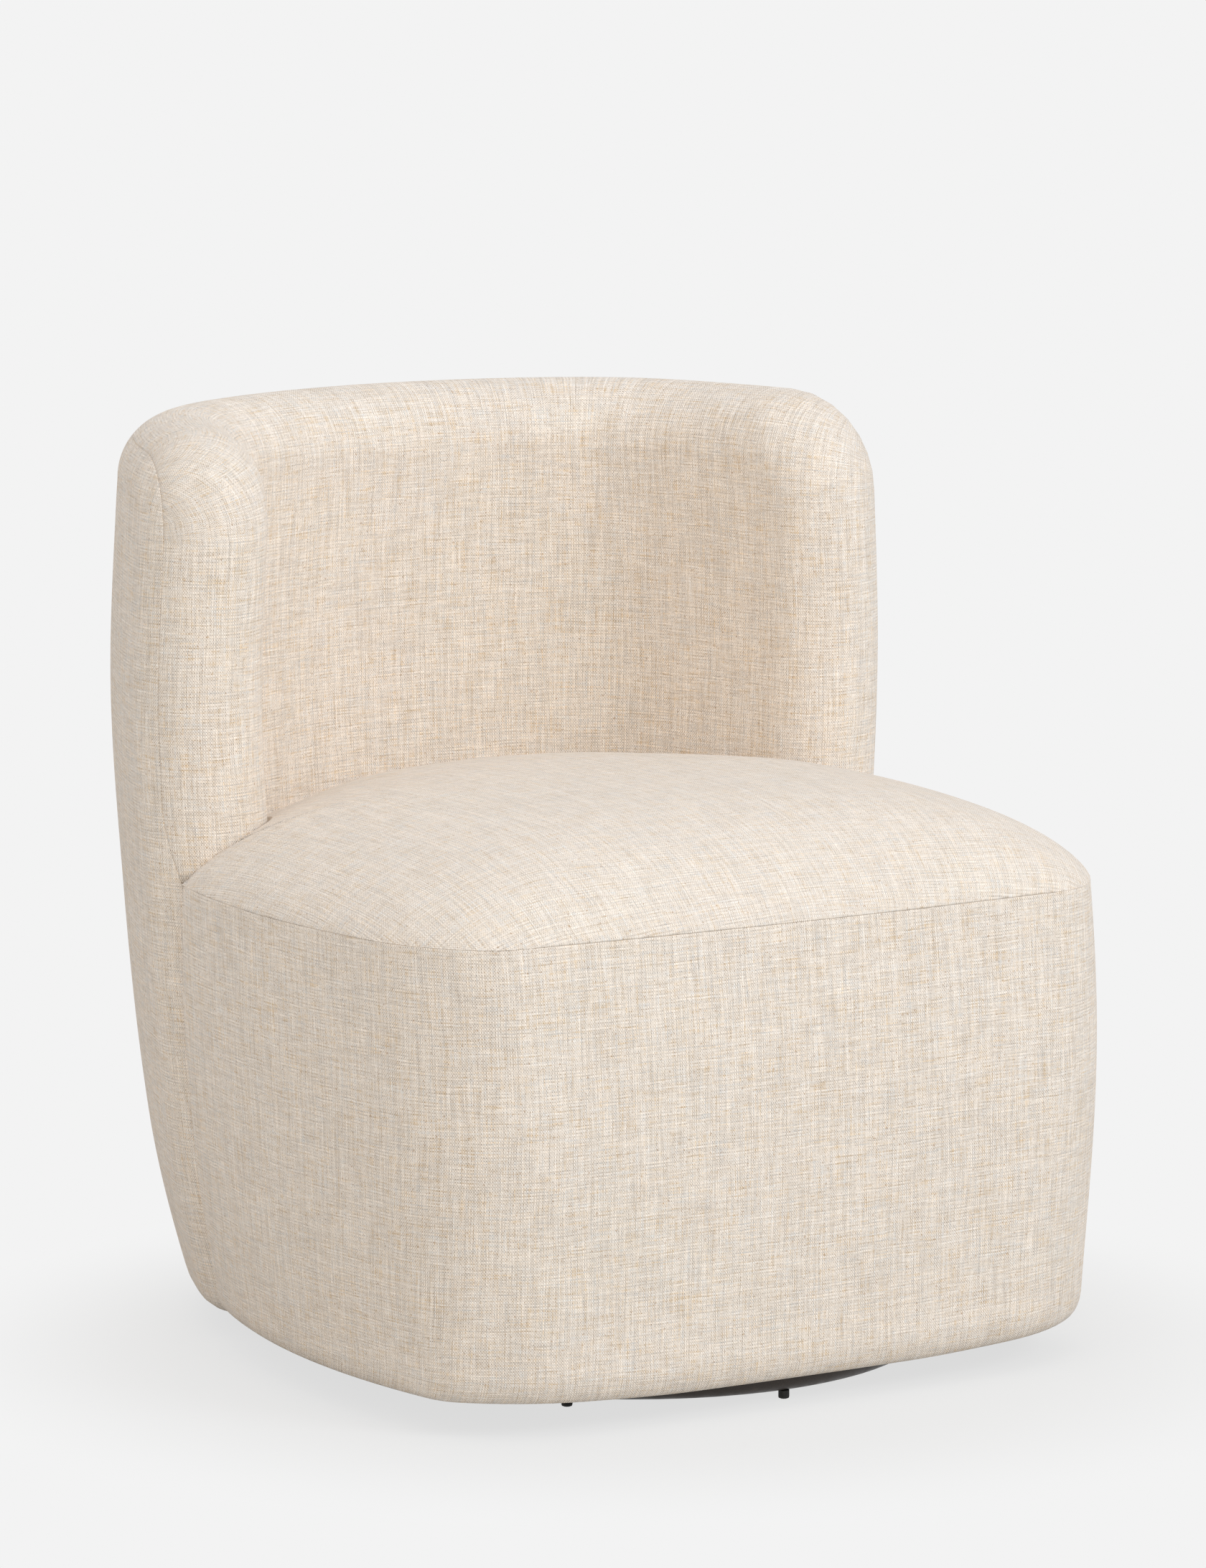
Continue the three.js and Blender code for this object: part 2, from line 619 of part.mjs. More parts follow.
// Inner pad: the thick lining of the tub, over the crest and round the front edges.
// Behind it lies the frame space, which ends square below the crest and behind the edges.
function innerPad() {
  const rows = UPPER_ROWS;
  const places = edgePlaces(upperRows);
  const coverRadius = BACK_RADIUS - OUTER_COVER_THICKNESS - SEATING_GAP;
  const depth = BACK_THICKNESS - INNER_PAD_THICKNESS;
  const seamGap = radToDeg(SEATING_GAP / coverRadius);
  const padSeam = (place) => seamAngle(place.height) - seamGap;
  const liningAngles = (place) => between(-90, padSeam(place), LINING_EDGE_DIVISIONS);
  const lining = edgeBand(places, BACK_RADIUS, liningAngles);
  const square = places.map((place, p) => {
    const rising = p < rows || p > places.length - 1 - rows;
    const share = p < rows ? p / rows : (places.length - 1 - p) / rows;
    const height = rising ? lerp(UPPER_FOOT, CREST_LINE, share) : CREST_LINE;
    return { along: betweenEdges(place.along), height };
  });
  const flush = (place, inset) => wrapPoint(place.along, barrelReach(place.height) - inset, place.height);
  const coverAngles = (place) => between(90, padSeam(place), COVER_EDGE_DIVISIONS);
  const coverSide = edgeBand(places, coverRadius, coverAngles);
  const squareColumns = CREST.map(({ along }) => ({ along: betweenEdges(along), height: CREST_LINE }));
  const coverDepth = BACK_RADIUS - coverRadius;
  const rearEdge = [
    ...between(depth, coverDepth, 2).map((inset) => square.map((place) => flush(place, inset))),
    ...coverSide,
  ];
  const tail = rearEdge.at(-1);
  while (rearEdge.length < lining.length) rearEdge.push(tail);
  return wrappedPad(
    wallFace(upperRows, () => BACK_THICKNESS),
    lining,
    wallFace(upperRows, () => depth, squareColumns),
    rearEdge,
  );
}

addPart('back_outer_cover', LINEN, outerCover());
addPart('back_inner_pad', LINEN, innerPad());

// Base band: padded fabric wall with a rolled hem, from one front edge of the back to the other
function bandFace(insetAt) {
  return bandPlaces(BAND_END_STEP).map(({ step, side }) => (
    BAND_ROWS.map((row) => baseWall(step, side, row.height, insetAt(row)))
  ));
}

addPart('base_band_cover', LINEN, thickSheet(bandFace((row) => row.inset), bandFace(() => BAND_THICKNESS)));

// Bent plywood panel that carries the band's padding
function bandPanel() {
  const heights = between(BOARD_TOP + SEATING_GAP, FELT_BOTTOM - SEATING_GAP, PANEL_ROWS);
  const face = (inset) => bandPlaces(BAND_END_STEP).map(({ step, side }) => (
    heights.map((height) => baseWall(step, side, height, inset))
  ));
  return thickSheet(face(PANEL_INSET), face(PANEL_INSET + PANEL_THICKNESS));
}

addPart('front_panel', PLYWOOD, bandPanel());

// Outline of a flat frame piece: inside the band in front, inside the back behind it
function frameOutline(height, frontInset, rearInset) {
  const front = arcSteps(0, BAND_END_STEP).map((step) => baseWall(step, 1, height, frontInset));
  const rearStart = BAND_TUCK + PAD_GAP;
  const rear = wrapStations(rearStart)
    .filter((along) => along >= WRAP_HALF)
    .reverse()
    .map((along) => wrapPoint(along, barrelReach(height) - rearInset, height));
  const half = [...front, ...rear];
  const mirrored = half.slice(1, -1).map((p) => new THREE.Vector3(-p.x, p.y, p.z));
  return [...half, ...mirrored.reverse()];
}

function circleOutline(radius, height, segments) {
  return Array.from({ length: segments }, (_, i) => {
    const angle = (-2 * Math.PI * i) / segments;
    return new THREE.Vector3(radius * Math.cos(angle), radius * Math.sin(angle), height);
  });
}

const raised = (points, height) => points.map((p) => new THREE.Vector3(p.x, p.y, height));
const reversed = (points) => [...points].reverse();

// Swivel board: the plywood floor of the frame, with a bore for the centre bolt's nut
const boardOutline = frameOutline(BOARD_BOTTOM, PANEL_INSET, RIB_OUTER_INSET);
addPart('swivel_board', PLYWOOD, subtract(
  slab(
    boardOutline,
    raised(boardOutline, BOARD_TOP),
    circleOutline(BOARD_BORE_RADIUS, BOARD_BOTTOM, ROUND_SEGMENTS),
    circleOutline(BOARD_BORE_RADIUS, BOARD_TOP, ROUND_SEGMENTS),
  ),
  screwPilots(),
));

// Black cambric below the board, open round the swivel plate
const CAMBRIC_BORE = PLATE_SIDE / Math.SQRT2 + DUST_COVER_MARGIN;
const CAMBRIC_TOP = BOARD_BOTTOM - SEATING_GAP;
const CAMBRIC_BOTTOM = CAMBRIC_TOP - DUST_COVER_THICKNESS;
addPart('dust_cover', CAMBRIC, slab(
  frameOutline(CAMBRIC_BOTTOM, PANEL_INSET, RIB_OUTER_INSET + PAD_GAP),
  frameOutline(CAMBRIC_TOP, PANEL_INSET, RIB_OUTER_INSET + PAD_GAP),
  circleOutline(CAMBRIC_BORE, CAMBRIC_BOTTOM, 2 * ROUND_SEGMENTS),
  circleOutline(CAMBRIC_BORE, CAMBRIC_TOP, 2 * ROUND_SEGMENTS),
));

// Seat deck: a plywood ring whose window the springs cross
const deckWindow = frameOutline(DECK_BOTTOM, DECK_INSET + DECK_RAIL_WIDTH, DECK_REAR_INSET + DECK_RAIL_WIDTH);
addPart('seat_deck', PLYWOOD, slab(
  frameOutline(DECK_BOTTOM, DECK_INSET, DECK_REAR_INSET),
  frameOutline(DECK_TOP, DECK_INSET, DECK_REAR_INSET),
  reversed(deckWindow),
  raised(reversed(deckWindow), DECK_TOP),
));

addPart('spring_felt', FELT, slab(
  frameOutline(FELT_BOTTOM, PANEL_INSET, DECK_REAR_INSET),
  frameOutline(FELT_BOTTOM + FELT_THICKNESS, PANEL_INSET, DECK_REAR_INSET),
));

addPart('seat_foam', FOAM, slab(
  frameOutline(FOAM_BOTTOM, PANEL_INSET, DECK_REAR_INSET),
  frameOutline(FOAM_TOP, PANEL_INSET, DECK_REAR_INSET),
));

// The line round the inside of the back at a height: round one front edge, along the
// inner face and round the other front edge, at a distance from the middle of the sheet
function innerLine(radius, height) {
  const middle = barrelReach(height) - BACK_RADIUS;
  const leftEdge = between(90, -90, CUTTER_EDGE_DIVISIONS).map(degToRad).map((angle) => (
    wrapPoint(-radius * Math.cos(angle), middle + radius * Math.sin(angle), height)
  ));
  const rightEdge = leftEdge.map((p) => new THREE.Vector3(-p.x, p.y, p.z));
  const inside = wrapStations(CREST_CORNER_RADIUS).map((along) => wrapPoint(along, middle - radius, height));
  return [...leftEdge, ...inside, ...reversed(rightEdge)];
}

// Distance from a centre to the first of some lines, looking one way from above
function reachTo(lines, centre, angle) {
  const [wayX, wayY] = [Math.cos(angle), Math.sin(angle)];
  const hits = lines.flatMap((line) => line.slice(1).map((end, i) => {
    const start = line[i];
    const [spanX, spanY] = [end.x - start.x, end.y - start.y];
    const [fromX, fromY] = [start.x - centre.x, start.y - centre.y];
    const turn = wayX * spanY - wayY * spanX;
    const share = (fromX * wayY - fromY * wayX) / turn;
    const distance = (fromX * spanY - fromY * spanX) / turn;
    return share >= 0 && share <= 1 && distance > 0 ? distance : Infinity;
  }));
  return Math.min(...hits);
}

// Values round a closed line, each drawn towards its two neighbours a number of times
function smoothedRound(values, passes) {
  const midway = values.map((value, i) => (value + values[(i + 1) % values.length]) / 2);
  const drawn = midway.map((value, i) => (value + midway.at(i - 1)) / 2);
  return passes > 1 ? smoothedRound(drawn, passes - 1) : drawn;
}

// Crowned seat: a dome over the front seam and the inside of the back. Its rings lose the
// corners of its edge one after the other towards the middle
function seatDome() {
  const centre = new THREE.Vector3(0, CROWN_SETBACK, 0);
  const foot = SEAM_HEIGHT + SEATING_GAP / 2;
  const rim = bandPlaces(SEAM_OUTLINE.arcs.length).map(({ step, side }) => baseWall(step, side, SEAM_HEIGHT));
  const lines = [rim, innerLine(BACK_RADIUS, SEAM_HEIGHT)];
  const columns = Array.from({ length: SEAT_COLUMNS }, (_, i) => (2 * Math.PI * i) / SEAT_COLUMNS);
  let reaches = columns.map((angle) => reachTo(lines, centre, angle));
  const rings = [...DOME_RING_SHARES, 0].map((share) => {
    const height = foot + SEAT_CROWN * (1 - share ** CROWN_SPREAD_SHARE) ** CROWN_EDGE_SHARE;
    const ring = columns.map((angle, i) => {
      const [alongX, alongY] = [Math.cos(angle), Math.sin(angle)].map((value) => value * share * reaches[i]);
      return new THREE.Vector3(centre.x + alongX, centre.y + alongY, height);
    });
    reaches = smoothedRound(reaches, SEAT_SMOOTHING_PASSES);
    return ring;
  });
  const flat = rings[0].map((p) => new THREE.Vector2(p.x, p.y));
  return new Skin()
    .grid(rings.map((ring) => [...ring, ring[0]]))
    .faces(rings[0], THREE.ShapeUtils.triangulateShape(flat, []), true)
    .closed();
}

// The sheet of the back between two heights, as a cutter for the seat that it embraces
function wrapCutter(low, high) {
  const radius = BACK_RADIUS + PAD_GAP;
  const rings = between(low, high, CUTTER_ROWS).map((height) => {
    const outside = wrapStations(CREST_CORNER_RADIUS).map((along) => (
      wrapPoint(along, barrelReach(height) - BACK_RADIUS + radius, height)
    ));
    return [...innerLine(radius, height), ...reversed(outside)];
  });
  const flat = rings[0].map((p) => new THREE.Vector2(p.x, p.y));
  const triangles = THREE.ShapeUtils.triangulateShape(flat, []);
  return new Skin()
    .grid(rings.map((ring) => [...ring, ring[0]]))
    .faces(rings[0], triangles, true)
    .faces(rings.at(-1), triangles)
    .closed();
}

addPart('seat_cushion', LINEN, subtract(
  seatDome(),
  wrapCutter(SEAM_HEIGHT - CUT_OVERRUN, SEAM_HEIGHT + SEAT_CROWN + CUT_OVERRUN),
));

// Plywood ribs cut to the barrel curve, standing on the board and carrying the top rail
function rib(along) {
  const heights = between(RIB_BOTTOM, RIB_TOP, RIB_ROWS);
  const face = (inset) => heights.map((height) => [-1, 1].map((way) => (
    wrapPoint(along + (way * RIB_WIDTH) / 2, barrelReach(height) - inset, height)
  )));
  return thickSheet(face(RIB_OUTER_INSET + SEATING_GAP), face(RIB_INNER_INSET));
}

const WING_RIB_ALONG = CREST_CORNER_RADIUS + SEATING_GAP + RIB_WIDTH / 2;
between(WING_RIB_ALONG, 2 * WRAP_HALF - WING_RIB_ALONG, RIB_COUNT - 1).forEach((along, i) => {
  addPart(`back_rib_${i + 1}`, PLYWOOD, rib(along));
});

function topRail() {
  const stations = wrapStations(CREST_CORNER_RADIUS + SEATING_GAP);
  const face = (inset) => stations.map((along) => (
    [TOP_RAIL_BOTTOM, TOP_RAIL_TOP].map((height) => wrapPoint(along, barrelReach(height) - inset, height))
  ));
  return thickSheet(face(RIB_OUTER_INSET), face(RIB_INNER_INSET));
}

addPart('back_top_rail', PLYWOOD, topRail());

// Raked posts inside the front panel, between the board and the seat deck
function post(step, side) {
  const heights = between(BOARD_TOP + SEATING_GAP, DECK_BOTTOM - SEATING_GAP, POST_ROWS);
  const middle = SEAM_OUTLINE.lengthAtStep(step);
  const edges = [-1, 1].map((way) => SEAM_OUTLINE.stepAtLength(middle + (way * POST_WIDTH) / 2));
  const face = (inset) => heights.map((height) => edges.map((edge) => baseWall(edge, side, height, inset)));
  return thickSheet(face(DECK_INSET + PAD_GAP), face(DECK_INSET + PAD_GAP + POST_DEPTH));
}

for (const [place, step] of Object.entries(POST_PLACE_SHARES)) {
  addPart(`${place}_post_left`, PLYWOOD, post(step, -1));
  addPart(`${place}_post_right`, PLYWOOD, post(step, 1));
}

// A path through chosen points, taken point by point
class PointPath extends THREE.Curve {
  constructor(points) {
    super();
    this.points = points;
  }

  getPoint(share) {
    const place = clamp(share, 0, 1) * (this.points.length - 1);
    const index = Math.min(Math.floor(place), this.points.length - 2);
    return this.points[index].clone().lerp(this.points[index + 1], place - index);
  }

  getPointAt(share) {
    return this.getPoint(share);
  }

  getTangentAt(share) {
    const step = 0.5 / (this.points.length - 1);
    return this.getPoint(share + step).sub(this.getPoint(share - step)).normalize();
  }
}

function roundSection(radius, sides) {
  return new THREE.Shape(Array.from({ length: sides }, (_, i) => {
    const angle = (2 * Math.PI * i) / sides;
    return new THREE.Vector2(radius * Math.cos(angle), radius * Math.sin(angle));
  }));
}

// Sinuous spring: cross bars joined by round bends at alternate ends, front to back
function springPath(x, frontY, backY) {
  const pitch = (backY - frontY) / (SPRING_BARS - 1);
  const bendRadius = pitch / 2;
  const straight = SPRING_HALF_WIDTH - bendRadius;
  const points = [];
  for (let bar = 0; bar < SPRING_BARS; bar += 1) {
    const y = frontY + pitch * bar;
    const way = bar % 2 ? -1 : 1;
    points.push(new THREE.Vector3(x - way * straight, y, SPRING_HEIGHT));
    points.push(new THREE.Vector3(x + way * straight, y, SPRING_HEIGHT));
    if (bar < SPRING_BARS - 1) {
      for (const angle of SPRING_BEND_ANGLES.map(degToRad)) {
        points.push(new THREE.Vector3(
          x + way * (straight + bendRadius * Math.sin(angle)),
          y + bendRadius * (1 - Math.cos(angle)),
          SPRING_HEIGHT,
        ));
      }
    }
  }
  return points;
}

function spring(x, frontY, backY) {
  const points = springPath(x, frontY, backY);
  return closedForm(new THREE.ExtrudeGeometry(roundSection(SPRING_WIRE_RADIUS, WIRE_SIDES), {
    steps: points.length - 1,
    extrudePath: new PointPath(points),
  }));
}

// Spring clip: a steel strip laid on the deck rail and curled over the spring's end bar
function clip(x, y, way) {
  const inner = CLIP_RADIUS - CLIP_STRIP;
  const curl = between(CLIP_CURL_START_ANGLE, CLIP_CURL_END_ANGLE, CLIP_CURL_DIVISIONS).map(degToRad);
  const outline = [
    new THREE.Vector2(-CLIP_TAIL, -inner),
    ...curl.map((angle) => new THREE.Vector2(inner * Math.cos(angle), inner * Math.sin(angle))),
    ...reversed(curl).map((angle) => (
      new THREE.Vector2(CLIP_RADIUS * Math.cos(angle), CLIP_RADIUS * Math.sin(angle))
    )),
    new THREE.Vector2(-CLIP_TAIL, -CLIP_RADIUS),
  ];
  const geometry = new THREE.ExtrudeGeometry(new THREE.Shape(outline), {
    depth: CLIP_WIDTH,
    bevelEnabled: false,
  });
  geometry.rotateX(Math.PI / 2);
  geometry.rotateZ((way * Math.PI) / 2);
  geometry.translate(x - (way * CLIP_WIDTH) / 2, y, SPRING_HEIGHT);
  return closedForm(geometry);
}

// How far the deck window reaches to the front and to the back in line with a spring
function windowReach(x) {
  const crossings = deckWindow.flatMap((p, i) => {
    const q = deckWindow[(i + 1) % deckWindow.length];
    if ((p.x - x) * (q.x - x) > 0 || p.x === q.x) return [];
    return [lerp(p.y, q.y, (x - p.x) / (q.x - p.x))];
  });
  return { front: Math.min(...crossings), back: Math.max(...crossings) };
}

for (let i = 0; i < SPRING_COUNT; i += 1) {
  const x = SPRING_SPACING * (i - (SPRING_COUNT - 1) / 2);
  const reach = windowReach(x);
  const frontY = reach.front - CLIP_TAIL / 2;
  const backY = reach.back + CLIP_TAIL / 2;
  addPart(`seat_spring_${i + 1}`, SPRING_STEEL, spring(x, frontY, backY));
  addPart(`front_spring_clip_${i + 1}`, ZINC, clip(x, frontY, 1));
  addPart(`rear_spring_clip_${i + 1}`, ZINC, clip(x, backY, -1));
}

// Base ring: a round tube bent to a full circle
function ringProfile() {
  return Array.from({ length: TUBE_SIDES }, (_, i) => {
    const angle = (2 * Math.PI * (i + 0.5)) / TUBE_SIDES;
    return [
      RING_CENTRE_RADIUS + RING_TUBE_RADIUS * Math.cos(angle),
      RING_CENTRE_HEIGHT + RING_TUBE_RADIUS * Math.sin(angle),
    ];
  });
}

addPart('base_ring', BRONZE, turned(ringProfile(), RING_SEGMENTS, true));

// Four flat tubes from the ring to the swivel plate, welded to both
const RING_CLEAR_RADIUS = (RING_CENTRE_RADIUS - RING_TUBE_RADIUS) * Math.cos(Math.PI / RING_SEGMENTS);
const SPOKE_OUTER_REACH = Math.sqrt((RING_CLEAR_RADIUS - SEATING_GAP) ** 2 - (SPOKE_WIDTH / 2) ** 2);
for (let i = 0; i < SPOKE_COUNT; i += 1) {
  const length = SPOKE_OUTER_REACH - SPOKE_INNER_REACH;
  const spoke = new THREE.BoxGeometry(length, SPOKE_WIDTH, SPOKE_HEIGHT);
  spoke.translate(SPOKE_INNER_REACH + length / 2, 0, RING_CENTRE_HEIGHT);
  spoke.rotateZ(degToRad(FIRST_SPOKE_ANGLE) + (2 * Math.PI * i) / SPOKE_COUNT);
  addPart(`base_spoke_${i + 1}`, BRONZE, closedForm(spoke));
}

// Rubber glides under the ring
function glide() {
  const edge = between(0, 90, GLIDE_EDGE_DIVISIONS).map(degToRad).map((angle) => [
    GLIDE_RADIUS - GLIDE_EDGE_RADIUS * (1 - Math.sin(angle)),
    GLIDE_EDGE_RADIUS * (1 - Math.cos(angle)),
  ]);
  const top = GLIDE_HEIGHT - SEATING_GAP;
  return turned([[0, 0], ...edge, [GLIDE_RADIUS, top], [0, top]], SMALL_ROUND_SEGMENTS);
}

for (let i = 0; i < GLIDE_COUNT; i += 1) {
  const angle = (2 * Math.PI * i) / GLIDE_COUNT - Math.PI / 2;
  const foot = addPart(`rubber_glide_${i + 1}`, RUBBER, glide());
  foot.position.set(RING_CENTRE_RADIUS * Math.cos(angle), RING_CENTRE_RADIUS * Math.sin(angle), 0);
}

// Pressed swivel plate: a rounded square with a raised ball track and four screw holes.
// It lies with its track upwards from height zero.
function swivelPlate(boreRadius) {
  const half = PLATE_SIDE / 2;
  const inner = half - PLATE_CORNER_RADIUS;
  const shape = new THREE.Shape();
  [[1, 1, 0], [-1, 1, 90], [-1, -1, 180], [1, -1, 270]].forEach(([sx, sy, start]) => {
    shape.absarc(sx * inner, sy * inner, PLATE_CORNER_RADIUS, degToRad(start), degToRad(start + 90));
  });
  const hole = (x, y, radius) => {
    const path = new THREE.Path();
    path.absarc(x, y, radius, 0, 2 * Math.PI, true);
    shape.holes.push(path);
  };
  hole(0, 0, boreRadius);
  screwPlaces().forEach(([x, y]) => hole(x, y, PLATE_HOLE_RADIUS));
  const plate = new THREE.ExtrudeGeometry(shape, {
    depth: PLATE_THICKNESS,
    bevelEnabled: false,
    curveSegments: CORNER_SEGMENTS,
  });
  return join(plate, ballTrack());
}

function screwPlaces() {
  return [[1, 1], [-1, 1], [-1, -1], [1, -1]].map(([x, y]) => [x * PLATE_HOLE_REACH, y * PLATE_HOLE_REACH]);
}

function ballTrack() {
  const base = PLATE_THICKNESS;
  const lip = Math.asin((GROOVE_RADIUS - TRACK_HEIGHT) / GROOVE_RADIUS);
  const groove = between(lip, Math.PI - lip, GROOVE_DIVISIONS).map((angle) => [
    BALL_CIRCLE_RADIUS + GROOVE_RADIUS * Math.cos(angle),
    base + GROOVE_RADIUS * (1 - Math.sin(angle)),
  ]);
  const root = base - PLATE_THICKNESS / 2;
  return turned([
    [BALL_CIRCLE_RADIUS - TRACK_HALF_WIDTH, root],
    [BALL_CIRCLE_RADIUS + TRACK_HALF_WIDTH, root],
    [BALL_CIRCLE_RADIUS + TRACK_HALF_WIDTH, base + TRACK_HEIGHT],
    ...groove,
    [BALL_CIRCLE_RADIUS - TRACK_HALF_WIDTH, base + TRACK_HEIGHT],
  ], TRACK_SEGMENTS, true);
}

const lowerPlate = addPart('lower_swivel_plate', ZINC, swivelPlate(PIVOT_RADIUS + RUNNING_GAP));
lowerPlate.position.z = LOWER_PLATE_BOTTOM;
const upperPlate = addPart('upper_swivel_plate', ZINC, swivelPlate(PIVOT_RADIUS + RUNNING_GAP));
upperPlate.rotation.x = Math.PI;
upperPlate.position.z = UPPER_PLATE_TOP;

// Ball cage: a thin ring that holds the balls at even spacing
function ballCage() {
  const ring = turned([
    [BALL_CIRCLE_RADIUS - CAGE_HALF_WIDTH, -CAGE_THICKNESS / 2],
    [BALL_CIRCLE_RADIUS + CAGE_HALF_WIDTH, -CAGE_THICKNESS / 2],
    [BALL_CIRCLE_RADIUS + CAGE_HALF_WIDTH, CAGE_THICKNESS / 2],
    [BALL_CIRCLE_RADIUS - CAGE_HALF_WIDTH, CAGE_THICKNESS / 2],
  ], TRACK_SEGMENTS, true);
  const balls = Array.from({ length: BALL_COUNT }, (_, i) => {
    const angle = (2 * Math.PI * i) / BALL_COUNT;
    const ball = new THREE.OctahedronGeometry(BALL_RADIUS, BALL_DETAIL);
    return ball.translate(BALL_CIRCLE_RADIUS * Math.cos(angle), BALL_CIRCLE_RADIUS * Math.sin(angle), 0);
  });
  return join(ring, ...balls);
}

addPart('ball_cage', ZINC, ballCage()).position.z = BALL_CENTRE_HEIGHT;

// Centre bolt up through both plates, with its washer and nut in the board's bore
const PIVOT_SHANK_RADIUS = PIVOT_RADIUS - RUNNING_GAP;
const WASHER_BOTTOM = UPPER_PLATE_TOP + RUNNING_GAP;
const NUT_BOTTOM = WASHER_BOTTOM + WASHER_THICKNESS + SEATING_GAP;

function hexPrism(radius, height) {
  return new THREE.CylinderGeometry(radius, radius, height, 6).rotateX(Math.PI / 2);
}

function pivotBolt() {
  const bottom = LOWER_PLATE_BOTTOM - SEATING_GAP - PIVOT_HEAD_HEIGHT;
  const top = NUT_BOTTOM + PIVOT_NUT_HEIGHT + PLATE_THICKNESS;
  const middle = bottom + PIVOT_HEAD_HEIGHT / 2;
  const head = hexPrism(PIVOT_HEAD_RADIUS, PIVOT_HEAD_HEIGHT).translate(0, 0, middle);
  const shank = turned([
    [0, middle],
    [PIVOT_SHANK_RADIUS, middle],
    [PIVOT_SHANK_RADIUS, top - PIVOT_SHANK_RADIUS * (1 - PIVOT_TIP_SHARE)],
    [PIVOT_SHANK_RADIUS * PIVOT_TIP_SHARE, top],
    [0, top],
  ], ROUND_SEGMENTS);
  return join(head, shank);
}

function pivotNut() {
  const nut = hexPrism(PIVOT_HEAD_RADIUS, PIVOT_NUT_HEIGHT);
  nut.translate(0, 0, NUT_BOTTOM + PIVOT_NUT_HEIGHT / 2);
  const bore = new THREE.CylinderGeometry(
    PIVOT_RADIUS,
    PIVOT_RADIUS,
    PIVOT_NUT_HEIGHT + 2 * CUT_OVERRUN,
    ROUND_SEGMENTS,
  );
  bore.rotateX(Math.PI / 2).translate(0, 0, NUT_BOTTOM + PIVOT_NUT_HEIGHT / 2);
  return subtract(nut, bore);
}

addPart('pivot_bolt', ZINC, pivotBolt());
addPart('pivot_nut', ZINC, pivotNut());
addPart('pivot_washer', ZINC, turned([
  [PIVOT_RADIUS, WASHER_BOTTOM],
  [WASHER_RADIUS, WASHER_BOTTOM],
  [WASHER_RADIUS, WASHER_BOTTOM + WASHER_THICKNESS],
  [PIVOT_RADIUS, WASHER_BOTTOM + WASHER_THICKNESS],
], ROUND_SEGMENTS, true));

// Pan-head screws from below through the upper plate into the board
function screwProfile(margin) {
  const headTop = UPPER_PLATE_BOTTOM - SEATING_GAP;
  const tip = BOARD_BOTTOM + SCREW_REACH;
  return [
    [0, headTop - SCREW_HEAD_HEIGHT],
    [SCREW_HEAD_RADIUS * SCREW_HEAD_FLAT_SHARE, headTop - SCREW_HEAD_HEIGHT],
    [SCREW_HEAD_RADIUS, headTop - SCREW_HEAD_HEIGHT / 2],
    [SCREW_HEAD_RADIUS, headTop],
    [SCREW_RADIUS + margin, headTop],
    [SCREW_RADIUS + margin, tip - SCREW_RADIUS],
    [0, tip + margin],
  ];
}

function screwPilots() {
  const [first, ...others] = screwPlaces().map(([x, y]) => (
    turned(screwProfile(SEATING_GAP), SMALL_ROUND_SEGMENTS).translate(x, y, 0)
  ));
  return join(first, ...others);
}

screwPlaces().forEach(([x, y], i) => {
  addPart(`plate_screw_${i + 1}`, ZINC, turned(screwProfile(0), SMALL_ROUND_SEGMENTS)).position.set(x, y, 0);
});

// The chair's own origin is on the floor under the middle of its outline
const footprint = new THREE.Box3().setFromObject(chair);
chair.position.y = -(footprint.min.y + footprint.max.y) / 2;

export default chair;
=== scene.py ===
"""Swivel barrel chair: linen upholstery, swivel base, plain studio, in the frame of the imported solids."""

import json
import math

import bmesh
import bpy
import numpy as np
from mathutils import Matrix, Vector

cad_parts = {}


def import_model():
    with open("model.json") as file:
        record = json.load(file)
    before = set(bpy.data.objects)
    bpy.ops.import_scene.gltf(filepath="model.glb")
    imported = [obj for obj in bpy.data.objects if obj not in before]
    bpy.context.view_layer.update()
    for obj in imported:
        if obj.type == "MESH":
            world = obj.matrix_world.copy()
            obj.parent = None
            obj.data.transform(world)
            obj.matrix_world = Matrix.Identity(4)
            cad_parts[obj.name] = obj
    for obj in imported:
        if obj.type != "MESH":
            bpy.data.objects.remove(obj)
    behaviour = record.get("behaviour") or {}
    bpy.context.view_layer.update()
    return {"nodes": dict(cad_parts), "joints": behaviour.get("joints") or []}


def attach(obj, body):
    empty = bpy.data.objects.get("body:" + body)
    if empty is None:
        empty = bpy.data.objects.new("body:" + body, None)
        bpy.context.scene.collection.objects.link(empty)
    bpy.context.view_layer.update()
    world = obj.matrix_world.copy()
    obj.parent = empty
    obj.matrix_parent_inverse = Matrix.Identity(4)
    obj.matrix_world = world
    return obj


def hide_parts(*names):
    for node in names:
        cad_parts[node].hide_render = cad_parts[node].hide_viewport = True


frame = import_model()

# driving sizes of the upholstery, the same as the solids'; all lengths are in metres, and angles in degrees
CHAIR_HEIGHT = 0.740
SEAM_HEIGHT = 0.384
HEM_HEIGHT = 0.022
SEAM_FRONT_REACH = 0.2516
HEM_FRONT_REACH = 0.2614
SEAM_RADII = (3.628, 0.060, 0.163, 0.712, 0.201)
SEAM_TURNS = (3.9, 41.6, 31.9, 38.8, 37.8)
HEM_RADII = (3.628, 0.143, 0.061, 0.712, 0.201)
HEM_TURNS = (3.1, 42.8, 32.3, 38.8, 37.8)
CORNER_ARC = 2
SIDE_ARC = 3
BACK_THICKNESS = 0.104
BACK_RADIUS = BACK_THICKNESS / 2
CREST_LINE = CHAIR_HEIGHT - BACK_RADIUS
CREST_CORNER_RADIUS = 0.031
WING_SETBACK = 0.1944
WING_HEM_LEAN = 0.030
LEAN_TOP = 0.220
LEAN_FADE = 0.200
